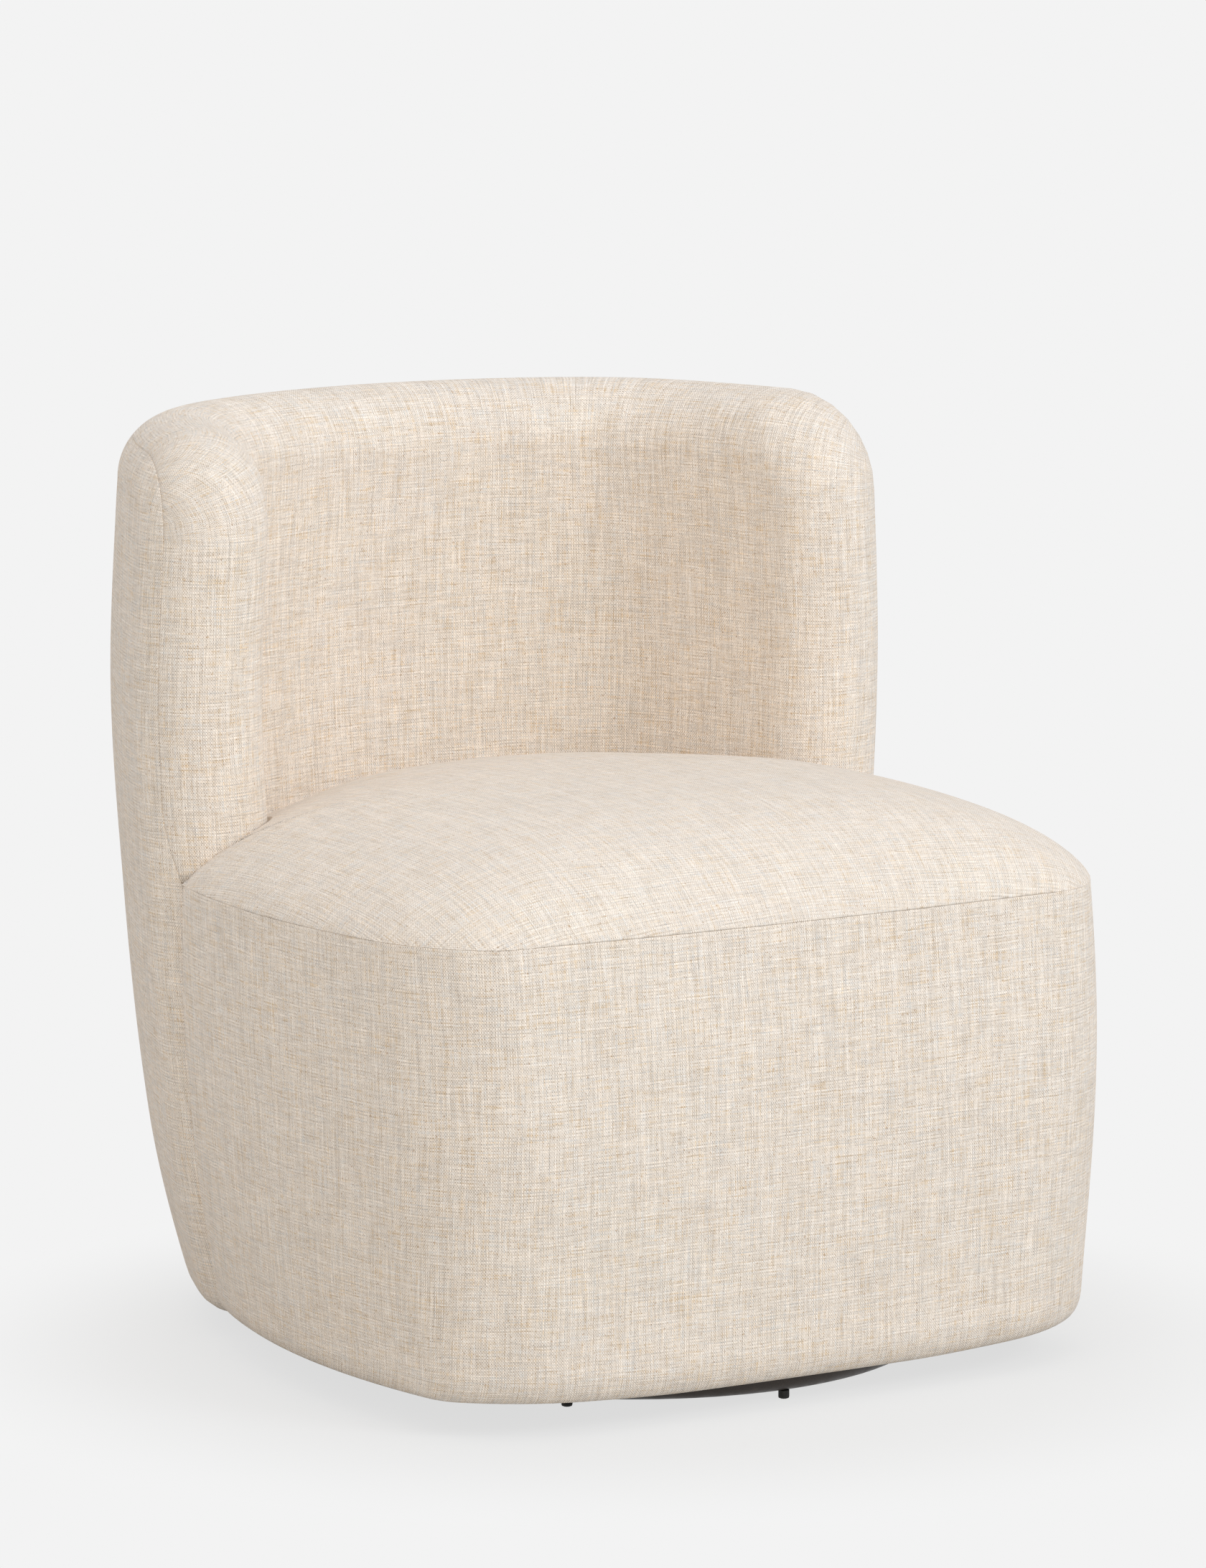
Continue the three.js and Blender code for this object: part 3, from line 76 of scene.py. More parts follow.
BELLY_REACH = 0.0248
BARREL_PLACES = np.array([0, 0.2, 0.45, 0.7, 0.9, 1])
BARREL_SHARES = np.array([-1.468, -0.125, 0.617, 1, 0.758, 0.52])
BAND_THICKNESS = 0.016
BAND_TUCK = 0.014
BAND_HEM_TUCK = 0.040
BAND_BELLY = 0.0078
BAND_BELLY_POWER = 1.2
BAND_LEAN_POWER = 0.8
HEM_ROLL_HEIGHT = 0.027
HEM_ROLL_WIDTH = 0.013
WALL_FOOT = HEM_HEIGHT + HEM_ROLL_HEIGHT
OUTER_COVER_THICKNESS = 0.010
INNER_PAD_THICKNESS = 0.038
COVER_HEM_ROLL = 0.008
PANEL_SEAM_ANGLE = 50
LOW_SEAM_ANGLE = 22
SEAM_FADE_FROM = 0.324
SEAM_FADE_TO = 0.444
PAD_FOOT = 0.3848

# small forms of the cloth: rolls along its seams, and the rise of the hem towards the corners
PANEL_ROLL = 0.0006
BAND_TOP_ROLL = 0.0008
BAND_TOP = SEAM_HEIGHT - 0.0001
HEM_LIFT = 0.0050
HEM_LIFT_FADE = 0.12
HEM_LIFT_FROM = 0.10
HEM_LIFT_TO = 0.27

# the band's edge: it starts to roll under at one distance from the back, and tucks in from a nearer one
BAND_EDGE_ROLL = 0.0075
BAND_EDGE_START = 0.0108
BAND_EDGE_END = 0.00555
BAND_EDGE_SLOPE = 0.7
BAND_EDGE_TUCK = 0.0065
BAND_EDGE_ZONE = 0.080

# the crowned seat: it rises from its seams by share of the way to its middle, and beside each wing one curve
# bridges its reach, between two angles from straight back and with a slope at each, in metres to the degree
CROWN_HEIGHT = 0.0767
CROWN_CENTRE_Y = -0.0077
CROWN_SPREAD = 3.363
CROWN_ROUNDING = 0.755
CROWN_TUCK = 0.006
CROWN_REAR_DROP = 0.0025
REAR_DROP_START = 0.1
REAR_DROP_LENGTH = 0.1
REAR_DROP_PULL = 4
WING_BRIDGE = (20, 66)
WING_BRIDGE_SLOPES = (-0.0022, 0.0)
SEAT_FOOT = 0.3842
SEAT_LIP = 0.0002
SEAT_CLEARANCE = 0.0012

DUST_COVER_SAG = 0.0022
DUST_COVER_THICKNESS = 0.0005
DUST_COVER_BORE_MARGIN = 0.02
SAG_POWER = 1.2
SAG_WAVE = 0.12
SAG_WAVES = 5

RING_RADIUS = 0.225
RING_TUBE_RADIUS = 0.012
RING_CENTRE_HEIGHT = 0.019

# how finely the skins are divided; where a row is crowded, its points gather towards the seam
GRID_STEP = 0.006
WELD_DISTANCE = 2e-5
CREST_CORNER_STATIONS = 8
COVER_DIVISIONS = 14
COVER_CROWDING = 1.7
PAD_DIVISIONS = 30
PAD_CROWDING = 1.35
HEM_ROLL_STATIONS = 8
BAND_TOP_STATIONS = 6
BAND_EDGE_COLUMNS = 161
SEAT_RAYS = 360
SEAT_RINGS = 64
SEAT_CROWDING = 1.9
SEAT_SOFTENING = 3
DUST_COVER_RAYS = 288
DUST_COVER_RINGS = 25
RING_ROUNDS = 144
RING_SIDES = 28

# how many points a curve is looked up at, a length beyond the whole chair, and one too small to show
WING_SAMPLES = 20001
INSIDE_SAMPLES = 2001
RIM_SAMPLES = 1200
REAR_SAMPLES = 2400
FAR = 9.0
HAIR = 1e-9

# the linen: pitches of its threads, how they sway, and how far each of its marks shows, among them the
# painted shade in its pinholes and the painted sheen on its crossings
WARP_PITCH = 0.00101
WEFT_PITCH = 0.00128
SWAYS = ((14.0, 0.0035), (120.0, 0.0011))
ASIDE = (3.1, 1.7, 5.3)
THREAD_STEP = 7.31
TINT_STEP = 5.17
WARP_STREAKS = 0.49
WEFT_STREAKS = 0.34
BUNDLE_STREAKS = 0.04
BUNDLE_RANGE = (0.35, 0.6)
PAIRED_THREADS = 0.08
# the pinholes are painted shade in the gaps of the weave, deepest where the threads are thin
PINHOLE_SHADE_IN_THIN_THREADS = 1.5
PINHOLE_SHADE_RANGE = (-0.15, -0.85)
PINHOLE_SHADE_DEPTH = 0.66
# the gleam is a painted sheen on the crossings where a thread lies over
GLEAM_RANGE = (0.15, 0.9)
CROWN_GLEAM = 0.22
CROWN_SHADE = 0.3
TAN_RANGE = (1.0, 1.40)
TAN_SHARE = 0.75
COOL_RANGE = (1.0, 0.62)
COOL_SHARE = 0.8
FLECK_SCALE = 420.0
FLECK_RANGE = (0.74, 0.82)
FLECK_SHARE = 0.5
TONE_RELIEF = 1.5
# painted shade: the seat's linen is a copy made a little darker and with fainter marks, for the stronger
# light on the seat's top
SEAT_CONTRAST = 0.78
SEAT_SHADE_LEVEL = 0.965

PLY_THICKNESS = 0.0028

# the studio: each lamp is a disk, with its place, its watts and its tint
FLOOR_SIZE = 9.0
FLOOR_COLOUR = (0.62, 0.615, 0.60, 1.0)
BACKDROP = 0.896
GLOW_FROM = 0.34
GLOW_TO = 0.60
GLOW_LEAST = 0.78
WORLD_LIGHT = 0.70
LAMP_SIZE = 2.4
LAMP_AIM = Vector((0.0, 0.0, 0.38))
LAMPS = {"key_lamp": ((2.2, -4.6, 3.6), 112.0, (0.965, 1.0, 1.045)),
         "top_lamp": ((-0.6, -1.2, 4.4), 18.7, (0.965, 1.0, 1.045)),
         "front_lamp": ((-1.6, -5.2, 1.0), 11.0, (0.975, 1.0, 0.80)),
         "left_lamp": ((-4.0, -1.6, 0.9), 11.0, (1.30, 1.0, 0.66))}

SWIVEL_Y = next(j["pos_m"][1] for j in frame["joints"] if j["name"] == "seat_swivel")
CAMERA_PLACE = (-3.3370, -5.4048 + SWIVEL_Y, 1.4685)
CAMERA_AZIMUTH = math.radians(-31.471)
CAMERA_ELEVATION = math.radians(9.042)
CAMERA_CLIP = (0.1, 60.0)
LENS_MM = 184.6
SENSOR_MM = 36.0


# outlines seen from above, each a chain of arcs from the front middle to the rear middle, about the swivel

class ArcOutline:
    """A step along it is the number of an arc and the share of that arc."""

    def __init__(self, radii, turns, front_reach):
        rows = []
        x, y, heading, start = 0.0, -front_reach, 0.0, 0.0
        for radius, turn in zip(radii, np.radians(turns)):
            rows.append((x, y, heading, radius, turn, start))
            x += radius * (math.sin(heading + turn) - math.sin(heading))
            y -= radius * (math.cos(heading + turn) - math.cos(heading))
            heading += turn
            start += radius * turn
        radius, turn = x / math.sin(heading), math.pi - heading
        rows.append((x, y, heading, radius, turn, start))
        self.table = np.array(rows)
        self.starts = self.table[:, -1]
        self.length = start + radius * turn

    def arcs_at(self, step):
        """The number of each step's arc, then its x, y, heading, radius, turn and the length before it."""
        arc = np.clip(np.floor(step).astype(int), 0, len(self.table) - 1)
        return arc, *np.moveaxis(self.table[arc], -1, 0)

    def at_step(self, step):
        """x, y and the outward normal at a step."""
        step = np.asarray(step, float)
        arc, x, y, heading, radius, turn, _ = self.arcs_at(step)
        angle = heading + turn * (step - arc)
        along_x = x + radius * (np.sin(angle) - np.sin(heading))
        along_y = y - radius * (np.cos(angle) - np.cos(heading))
        return along_x, along_y, np.sin(angle), -np.cos(angle)

    def step_at(self, length):
        length = np.asarray(length, float)
        before = np.searchsorted(self.starts, length, side="right") - 1
        arc, _, _, _, radius, turn, start = self.arcs_at(before)
        return arc + (length - start) / (radius * turn)

    def at_length(self, length):
        return self.at_step(self.step_at(length))

    def length_at(self, step):
        step = np.asarray(step, float)
        arc, _, _, _, radius, turn, start = self.arcs_at(step)
        return start + (step - arc) * radius * turn


SEAM = ArcOutline(SEAM_RADII, SEAM_TURNS, SEAM_FRONT_REACH)
HEM = ArcOutline(HEM_RADII, HEM_TURNS, HEM_FRONT_REACH)


def length_where_y(outline, y):
    """Where an outline comes to a y behind its front corner, as a length along it."""
    lengths = np.linspace(outline.starts[CORNER_ARC], outline.length, WING_SAMPLES)
    return float(np.interp(y, outline.at_length(lengths)[1], lengths))


WING_LENGTH = length_where_y(SEAM, WING_SETBACK)
WRAP_HALF = SEAM.length - WING_LENGTH
WRAP_LENGTH = 2 * WRAP_HALF
WING_EDGES = (0.0, WRAP_LENGTH - HAIR)
BAND_END_STEP = float(SEAM.step_at(WING_LENGTH + BAND_TUCK))
HEM_TUCK_STEP = BAND_HEM_TUCK / (SEAM_RADII[SIDE_ARC] * math.radians(SEAM_TURNS[SIDE_ARC]))


def smoothstep(value, low, high):
    share = np.clip((value - low) / (high - low), 0, 1)
    return share * share * (3 - 2 * share)


def monotone(places, shares, at):
    """A smooth curve through the shares that never overshoots between them."""
    rise = np.diff(shares) / np.diff(places)
    slope = np.zeros(len(places))
    slope[0] = 1.5 * rise[0] - 0.5 * rise[1]
    slope[-1] = 1.5 * rise[-1] - 0.5 * rise[-2]
    for k in range(1, len(places) - 1):
        if rise[k - 1] * rise[k] > 0:
            slope[k] = 2 * rise[k - 1] * rise[k] / (rise[k - 1] + rise[k])
    k = np.clip(np.searchsorted(places, at, side="right") - 1, 0, len(rise) - 1)
    width = places[k + 1] - places[k]
    u = (at - places[k]) / width
    low = shares[k] * (1 + 2 * u) * (1 - u) ** 2 + width * slope[k] * u * (1 - u) ** 2
    high = shares[k + 1] * u ** 2 * (3 - 2 * u) + width * slope[k + 1] * u ** 2 * (u - 1)
    return low + high


def barrel_reach(height):
    """How far the outside of the back stands out from the seam outline at a height."""
    place = np.clip((height - HEM_HEIGHT) / (CHAIR_HEIGHT - HEM_HEIGHT), 0, 1)
    return BELLY_REACH * monotone(BARREL_PLACES, BARREL_SHARES, place)


def lean_share(height):
    return np.clip((LEAN_TOP - height) / (LEAN_TOP - HEM_HEIGHT), 0, 1)


def wrap_point(along, out, height):
    """A point of the back: along the seam outline from wing to wing, out from it, at a height."""
    along, out, height = np.broadcast_arrays(along, out, height)
    side = np.where(along < WRAP_HALF, -1.0, 1.0)
    edge = np.minimum(along, WRAP_LENGTH - along)
    lean = WING_HEM_LEAN * lean_share(height) * np.clip(1 - edge / LEAN_FADE, 0, 1)
    x, y, nx, ny = SEAM.at_length(WING_LENGTH + np.maximum(edge, 0) + lean)
    beyond = np.minimum(edge, 0)
    place_x = side * (x + nx * out - ny * beyond)
    place_y = y + ny * out + nx * beyond + SWIVEL_Y
    return np.stack([place_x, place_y, height + 0 * place_x], axis=-1)


def base_wall(step, side, height, inset=0.0):
    """A point of the base band or of the seat's seam: a step of the outline on one side, at a height."""
    step, side, height, inset = np.broadcast_arrays(step, side, height, inset)
    reach = np.maximum(step - SIDE_ARC, 0) / (BAND_END_STEP - SIDE_ARC)
    step = step + HEM_TUCK_STEP * lean_share(height) * reach ** 2
    hem_x, hem_y, _, _ = HEM.at_step(step)
    seam_x, seam_y, nx, ny = SEAM.at_step(step)
    rise = np.clip((height - WALL_FOOT) / (SEAM_HEIGHT - WALL_FOOT), 0, 1)
    lean = rise ** BAND_LEAN_POWER
    out = BAND_BELLY * np.sin(np.pi * rise ** BAND_BELLY_POWER) - inset
    place_x = side * (hem_x + (seam_x - hem_x) * lean + nx * out)
    place_y = hem_y + (seam_y - hem_y) * lean + ny * out + SWIVEL_Y
    return np.stack([place_x, place_y, height + 0 * place_x], axis=-1)


# mesh helpers

def counted(length):
    return max(2, int(round(length / GRID_STEP)))


def grid_faces(rows, columns, start=0):
    """Quads of a grid whose vertices are numbered row by row."""
    faces = []
    for r in range(rows - 1):
        for c in range(columns - 1):
            a = start + r * columns + c
            faces.append((a, a + 1, a + columns + 1, a + columns))
    return faces


def ring_faces(rings, count, closed=False):
    """Quads between rings of points; closed joins the last ring to the first as well."""
    faces = []
    for ring in range(rings if closed else rings - 1):
        after = (ring + 1) % rings
        for c in range(count):
            d = (c + 1) % count
            faces.append((ring * count + c, after * count + c, after * count + d, ring * count + d))
    return faces


def rows_of(*coordinates):
    """Points, one to a row, from grids of their coordinates."""
    return np.stack(np.broadcast_arrays(*coordinates), axis=-1).reshape(-1, len(coordinates))


def make_mesh(name, points, faces, weave=None, smooth=True):
    mesh = bpy.data.meshes.new(name)
    mesh.from_pydata([tuple(p) for p in points], [], faces)
    if weave is not None:
        layer = mesh.attributes.new("weave", "FLOAT_VECTOR", "POINT")
        flat = np.zeros((len(points), 3), np.float32)
        flat[:, :2] = weave
        layer.data.foreach_set("vector", flat.ravel())
    mesh.validate()
    for polygon in mesh.polygons:
        polygon.use_smooth = smooth
    piece = bpy.data.objects.new(name, mesh)
    bpy.context.scene.collection.objects.link(piece)
    return piece


def welded(piece):
    body = bmesh.new()
    body.from_mesh(piece.data)
    bmesh.ops.remove_doubles(body, verts=body.verts, dist=WELD_DISTANCE)
    bmesh.ops.recalc_face_normals(body, faces=body.faces)
    body.to_mesh(piece.data)
    body.free()
    return piece


def shell(name, outer, inner, faces, weave):
    """A closed body: an outer skin, the same skin moved inwards, and strips that join their open edges."""
    count = len(outer)
    edges = dict.fromkeys(edge for face in faces for edge in zip(face, face[1:] + face[:1]))
    whole = list(faces)
    whole += [tuple(count + v for v in reversed(face)) for face in faces]
    whole += [(b, a, count + a, count + b) for a, b in edges if (b, a) not in edges]
    points = np.concatenate([outer, inner])
    return welded(make_mesh(name, points, whole, np.concatenate([weave, weave])))


def shell_of_used(name, outer, inner, faces, weave):
    """The shell of only those points that a face uses, after points in the same place are made one."""
    keys = np.round(outer / WELD_DISTANCE).astype(np.int64)
    _, first, merged = np.unique(keys, axis=0, return_index=True, return_inverse=True)
    merged = merged.ravel()
    faces = [tuple(int(merged[v]) for v in face) for face in faces]
    faces = [face for face in faces if len(set(face)) == len(face)]
    used = sorted({v for face in faces for v in face})
    place = {v: i for i, v in enumerate(used)}
    faces = [tuple(place[v] for v in face) for face in faces]
    keep = first[used]
    return shell(name, outer[keep], inner[keep], faces, weave[keep])


# the back: a wall from wing to wing, and a band of half-round sections that follows its front and top edges

def edge_line():
    """Stations up one wing, along the crest and down the other, with the way that each half round faces."""
    corner = np.radians(np.linspace(0, 90, CREST_CORNER_STATIONS))
    corner_in = CREST_CORNER_RADIUS * (1 - np.cos(corner))
    corner_height = CREST_LINE - CREST_CORNER_RADIUS * (1 - np.sin(corner))
    low = np.linspace(HEM_HEIGHT, corner_height[0], counted(corner_height[0] - HEM_HEIGHT) + 1)[:-1]
    straight = WRAP_LENGTH - 2 * CREST_CORNER_RADIUS
    crest = np.linspace(0, 1, counted(straight) + 1)[1:-1] * straight + CREST_CORNER_RADIUS
    ones = np.ones
    along = np.concatenate([0 * low, corner_in, crest])
    height = np.concatenate([low, corner_height, CREST_LINE * ones(len(crest))])
    forward = np.concatenate([-ones(len(low)), -np.cos(corner), 0 * crest])
    upward = np.concatenate([0 * low, np.sin(corner), ones(len(crest))])
    along = np.concatenate([along, WRAP_LENGTH - corner_in[::-1], WRAP_LENGTH + 0 * low])
    height = np.concatenate([height, corner_height[::-1], low[::-1]])
    forward = np.concatenate([forward, np.cos(corner)[::-1], ones(len(low))])
    upward = np.concatenate([upward, np.sin(corner)[::-1], 0 * low])
    return along, height, forward, upward, len(low), len(corner), len(crest)


EDGE_ALONG, EDGE_HEIGHT, EDGE_FORWARD, EDGE_UPWARD, LOW_STATIONS, CORNER_COUNT, CREST_COUNT = edge_line()
WALL_ROWS = LOW_STATIONS + CORNER_COUNT
WALL_COLUMNS = 2 * CORNER_COUNT + CREST_COUNT
COLUMN_PLACES = EDGE_ALONG[LOW_STATIONS:LOW_STATIONS + WALL_COLUMNS]
ROW_HEIGHTS = EDGE_HEIGHT[:WALL_ROWS]


def seam_angles():
    """The angle round the half round at which the cover and the pad meet, at each station."""
    height = EDGE_HEIGHT + BACK_RADIUS * EDGE_UPWARD
    fade = smoothstep(height, SEAM_FADE_FROM, SEAM_FADE_TO)
    return (LOW_SEAM_ANGLE + (PANEL_SEAM_ANGLE - LOW_SEAM_ANGLE) * fade)[:, None]


def wall_faces(skipped_rows=0, inward=False):
    """The wall's grid above some rows, with the cells outside its two rounded top corners left out."""
    faces = []
    for row in range(WALL_ROWS - skipped_rows - 1):
        for column in range(WALL_COLUMNS - 1):
            corner_row = row + skipped_rows - LOW_STATIONS
            near = min(column, WALL_COLUMNS - 2 - column)
            a = row * WALL_COLUMNS + column
            b, c, d = a + 1, a + WALL_COLUMNS + 1, a + WALL_COLUMNS
            if corner_row < near or corner_row < 0:
                face = (a, b, c, d)
            elif corner_row == near:
                face = (a, b, c) if column < WALL_COLUMNS / 2 else (a, b, d)
            else:
                continue
            faces.append((face[0], *face[:0:-1]) if inward else face)
    return faces


def inner_length(along):
    """Length along the inside of the back, for the cloth there."""
    fine = np.linspace(0, WRAP_LENGTH, INSIDE_SAMPLES)
    path = wrap_point(fine, barrel_reach(CREST_LINE) - BACK_THICKNESS, CREST_LINE)
    steps = np.linalg.norm(np.diff(path, axis=0), axis=1)
    return np.interp(along, fine, np.concatenate([[0], np.cumsum(steps)]))


def roll_in(distance, radius):
    """How far a rounded edge of that radius falls back, by distance from the edge."""
    left = np.clip(1 - distance / radius, 0, 1)
    return radius * (1 - np.sqrt(1 - left ** 2))


def band_points(angles, sink):
    """Points of the half round: one row for each station, with its angles, and a sink below the skin."""
    edge = (EDGE_ALONG, EDGE_HEIGHT, EDGE_FORWARD, EDGE_UPWARD)
    along, height, forward, upward = (values[:, None] for values in edge)
    angle = np.radians(angles)
    radius = BACK_RADIUS - sink
    reach, out = radius * np.cos(angle), radius * np.sin(angle)
    middle = barrel_reach(height) - BACK_RADIUS
    return wrap_point(along + reach * forward, middle + out, height + reach * upward)


def band_weave(turned, lengths):
    """Places in the cloth of those points, by how far each has turned from the wall."""
    arc = BACK_RADIUS * np.radians(turned)
    across = lengths[:, None] + arc * EDGE_FORWARD[:, None]
    return np.stack([across, EDGE_HEIGHT[:, None] + arc * EDGE_UPWARD[:, None]], axis=-1)


def cover_hem_sink(height):
    """How far the outer cover falls back where it rolls in at the hem, twice as high as it is deep."""
    return roll_in((height - HEM_HEIGHT) / 2, COVER_HEM_ROLL)


def joined_skins(name, wall, band, faces):
    """One shell of a wall and a band, each a skin, a lining and a weave in rows and columns."""
    rows, columns = band[0].shape[:2]
    start = len(wall[0].reshape(-1, 3))
    faces = faces + [tuple(reversed(face)) for face in grid_faces(rows, columns, start)]
    outer, inner, weave = (np.concatenate([a.reshape(-1, a.shape[-1]), b.reshape(-1, b.shape[-1])])
                           for a, b in zip(wall, band))
    return shell_of_used(name, outer, inner, faces, weave)


def back_outer_linen():
    columns, heights = np.meshgrid(COLUMN_PLACES, ROW_HEIGHTS)
    skin = wrap_point(columns, barrel_reach(heights) - cover_hem_sink(heights), heights)
    lining = wrap_point(columns, barrel_reach(heights) - OUTER_COVER_THICKNESS, heights)
    wall = (skin, lining, np.stack([columns, heights], axis=-1))
    share = 1 - (1 - np.linspace(0, 1, COVER_DIVISIONS + 1)) ** COVER_CROWDING
    last = seam_angles()
    angles = 90 + (last - 90) * share
    gap = BACK_RADIUS * np.radians(angles - last)
    sink = np.maximum(roll_in(gap, PANEL_ROLL), cover_hem_sink(EDGE_HEIGHT[:, None]))
    band = (band_points(angles, sink), band_points(angles, OUTER_COVER_THICKNESS),
            band_weave(90 - angles, EDGE_ALONG))
    return joined_skins("back_outer_linen", wall, band, wall_faces())


def back_inner_linen():
    lowest = PAD_FOOT + 0.5 * GRID_STEP
    rows = np.concatenate([[PAD_FOOT], ROW_HEIGHTS[ROW_HEIGHTS > lowest]])
    columns, heights = np.meshgrid(COLUMN_PLACES, rows)
    face = barrel_reach(heights) - BACK_THICKNESS
    lengths = np.broadcast_to(inner_length(COLUMN_PLACES), columns.shape)
    wall = (wrap_point(columns, face, heights), wrap_point(columns, face + INNER_PAD_THICKNESS, heights),
            np.stack([lengths, heights], axis=-1))
    share = np.linspace(0, 1, PAD_DIVISIONS + 1) ** PAD_CROWDING
    first = seam_angles()
    angles = first + (-90 - first) * share
    gap = BACK_RADIUS * np.radians(first - angles)
    skin, lining = band_points(angles, roll_in(gap, PANEL_ROLL)), band_points(angles, INNER_PAD_THICKNESS)
    foot = int(np.argmax(EDGE_HEIGHT >= lowest)) - 1
    stations = slice(foot, len(EDGE_HEIGHT) - foot)
    for block in (skin, lining):
        block[[foot, -1 - foot], :, 2] = PAD_FOOT
    weave = band_weave(angles + 90, inner_length(EDGE_ALONG))
    band = (skin[stations], lining[stations], weave[stations])
    return joined_skins("back_inner_linen", wall, band, wall_faces(WALL_ROWS - len(rows), inward=True))


# the base band, from behind one wing round the front to behind the other

def hem_lifted(points):
    """The hem hangs level along the front and rises a little towards the corners and the sides."""
    lift = HEM_LIFT * smoothstep(np.abs(points[..., 0]), HEM_LIFT_FROM, HEM_LIFT_TO)
    share = 1 - smoothstep(points[..., 2], HEM_HEIGHT, HEM_HEIGHT + HEM_LIFT_FADE)
    return points + (lift * share)[..., None] * np.array([0, 0, 1])


def drawn_in(points):
    """How far the band is drawn in where it rolls under against the rounded front edges of the back."""
    height = points[..., 2]
    middle = barrel_reach(height) - BACK_RADIUS
    near = np.full(height.shape, FAR)
    for along in WING_EDGES:
        edge = wrap_point(along, middle, height)
        near = np.minimum(near, np.linalg.norm((points - edge)[..., :2], axis=-1) - BACK_RADIUS)
    rolled = np.clip((BAND_EDGE_START - near) / BAND_EDGE_SLOPE / BAND_EDGE_ROLL, 0, 1)
    under = np.clip(BAND_EDGE_END - near, 0, BAND_EDGE_TUCK)
    return BAND_EDGE_ROLL * (1 - np.sqrt(1 - rolled ** 2)) + under


def base_band_linen():
    half_length = float(SEAM.length_at(BAND_END_STEP))
    plain_length = half_length - BAND_EDGE_ZONE
    plain = np.linspace(0, plain_length, counted(plain_length) + 1)[:-1]
    fine = np.linspace(plain_length, half_length, BAND_EDGE_COLUMNS)
    steps = SEAM.step_at(np.concatenate([plain, fine]))
    count = len(steps) - 1
    steps = np.concatenate([steps[::-1], steps[1:]])
    sides = np.concatenate([-np.ones(count + 1), np.ones(count)])
    turn = np.radians(np.linspace(90, 0, HEM_ROLL_STATIONS))[:-1]
    roll_height = HEM_HEIGHT + HEM_ROLL_HEIGHT * (1 - np.sin(turn))
    roll_inset = HEM_ROLL_WIDTH * (1 - np.cos(turn))
    wall = np.linspace(WALL_FOOT, BAND_TOP - BAND_TOP_ROLL, counted(SEAM_HEIGHT - WALL_FOOT))
    top = np.radians(np.linspace(0, 90, BAND_TOP_STATIONS))[1:]
    top_height = BAND_TOP - BAND_TOP_ROLL * (1 - np.sin(top))
    top_inset = BAND_TOP_ROLL * (1 - np.cos(top))
    height = np.concatenate([roll_height, wall, top_height])[:, None]
    inset = np.concatenate([roll_inset, 0 * wall, top_inset])[:, None]
    skin = base_wall(steps, sides, height, inset)
    skin = hem_lifted(base_wall(steps, sides, height, inset + drawn_in(skin)))
    lining = hem_lifted(base_wall(steps, sides, height, BAND_THICKNESS))
    threads = np.cumsum(np.linalg.norm(np.diff(skin, axis=1, prepend=skin[:, :1]), axis=2), axis=1)
    threads -= threads[:, count:count + 1]
    weave = rows_of(threads, height - inset)
    faces = grid_faces(len(height), len(steps))
    return shell_of_used("base_band_linen", skin.reshape(-1, 3), lining.reshape(-1, 3), faces, weave)


# the seat: a crowned cushion between the front seam, the two wings and the inside of the back

def ray_to_wing(directions, centre, clearance):
    """Distance from the crown's middle to the rounded front of each wing, or far where a ray misses it."""
    nearest = np.full(len(directions), FAR)
    radius = BACK_RADIUS + clearance
    middle = barrel_reach(SEAM_HEIGHT) - BACK_RADIUS
    for along in WING_EDGES:
        offset = wrap_point(along, middle, SEAM_HEIGHT)[:2] - centre
        ahead = directions @ offset
        beside = offset @ offset - ahead ** 2
        hit = (beside < radius ** 2) & (ahead > 0)
        reach = ahead - np.sqrt(np.maximum(radius ** 2 - beside, 0))
        nearest = np.where(hit, np.minimum(nearest, reach), nearest)
    return nearest


def polar(points, centre):
    offset = points[:, :2] - centre
    return np.arctan2(offset[:, 1], offset[:, 0]), np.hypot(offset[:, 0], offset[:, 1])


def seat_reach(angles, centre, clearance):
    """How far the seat reaches at each angle round the crown's middle, with a clearance to the back."""
    steps = np.linspace(0, SIDE_ARC + 1, RIM_SAMPLES)
    rim = np.concatenate([base_wall(steps, side, SEAM_HEIGHT) for side in (-1, 1)])
    rim_angle, rim_reach = polar(rim, centre)
    order = np.argsort(rim_angle)
    front = np.interp(angles, rim_angle[order], rim_reach[order], period=2 * np.pi)
    along = np.linspace(0, WRAP_LENGTH, REAR_SAMPLES)
    inside = wrap_point(along, barrel_reach(SEAM_HEIGHT) - BACK_THICKNESS - clearance, SEAM_HEIGHT)
    in_angle, in_reach = polar(inside, centre)
    order = np.argsort(in_angle)
    rear = np.interp(angles, in_angle[order], in_reach[order], left=FAR, right=FAR)
    directions = np.stack([np.cos(angles), np.sin(angles)], axis=-1)
    return np.minimum(np.minimum(front, rear), ray_to_wing(directions, centre, clearance))


def bridged(reach, turned):
    """The reach with one smooth curve in place of its step at each wing, by angle from straight back."""
    near, far = WING_BRIDGE
    near_slope, far_slope = WING_BRIDGE_SLOPES
    near_reach, far_reach = (float(reach[np.argmin(np.abs(turned - angle))]) for angle in WING_BRIDGE)
    share = np.clip((turned - near) / (far - near), 0, 1)
    span = far - near
    curve = ((2 * share ** 3 - 3 * share ** 2 + 1) * near_reach
             + (3 * share ** 2 - 2 * share ** 3) * far_reach
             + span * near_slope * (share ** 3 - 2 * share ** 2 + share)
             + span * far_slope * (share ** 3 - share ** 2))
    return np.where((turned > near) & (turned < far), curve, reach)


def softened(values, half_width):
    kernel = np.hanning(2 * half_width + 3)[1:-1]
    kernel /= kernel.sum()
    wrapped = np.concatenate([values[-half_width:], values, values[:half_width]])
    return np.convolve(wrapped, kernel, "valid")


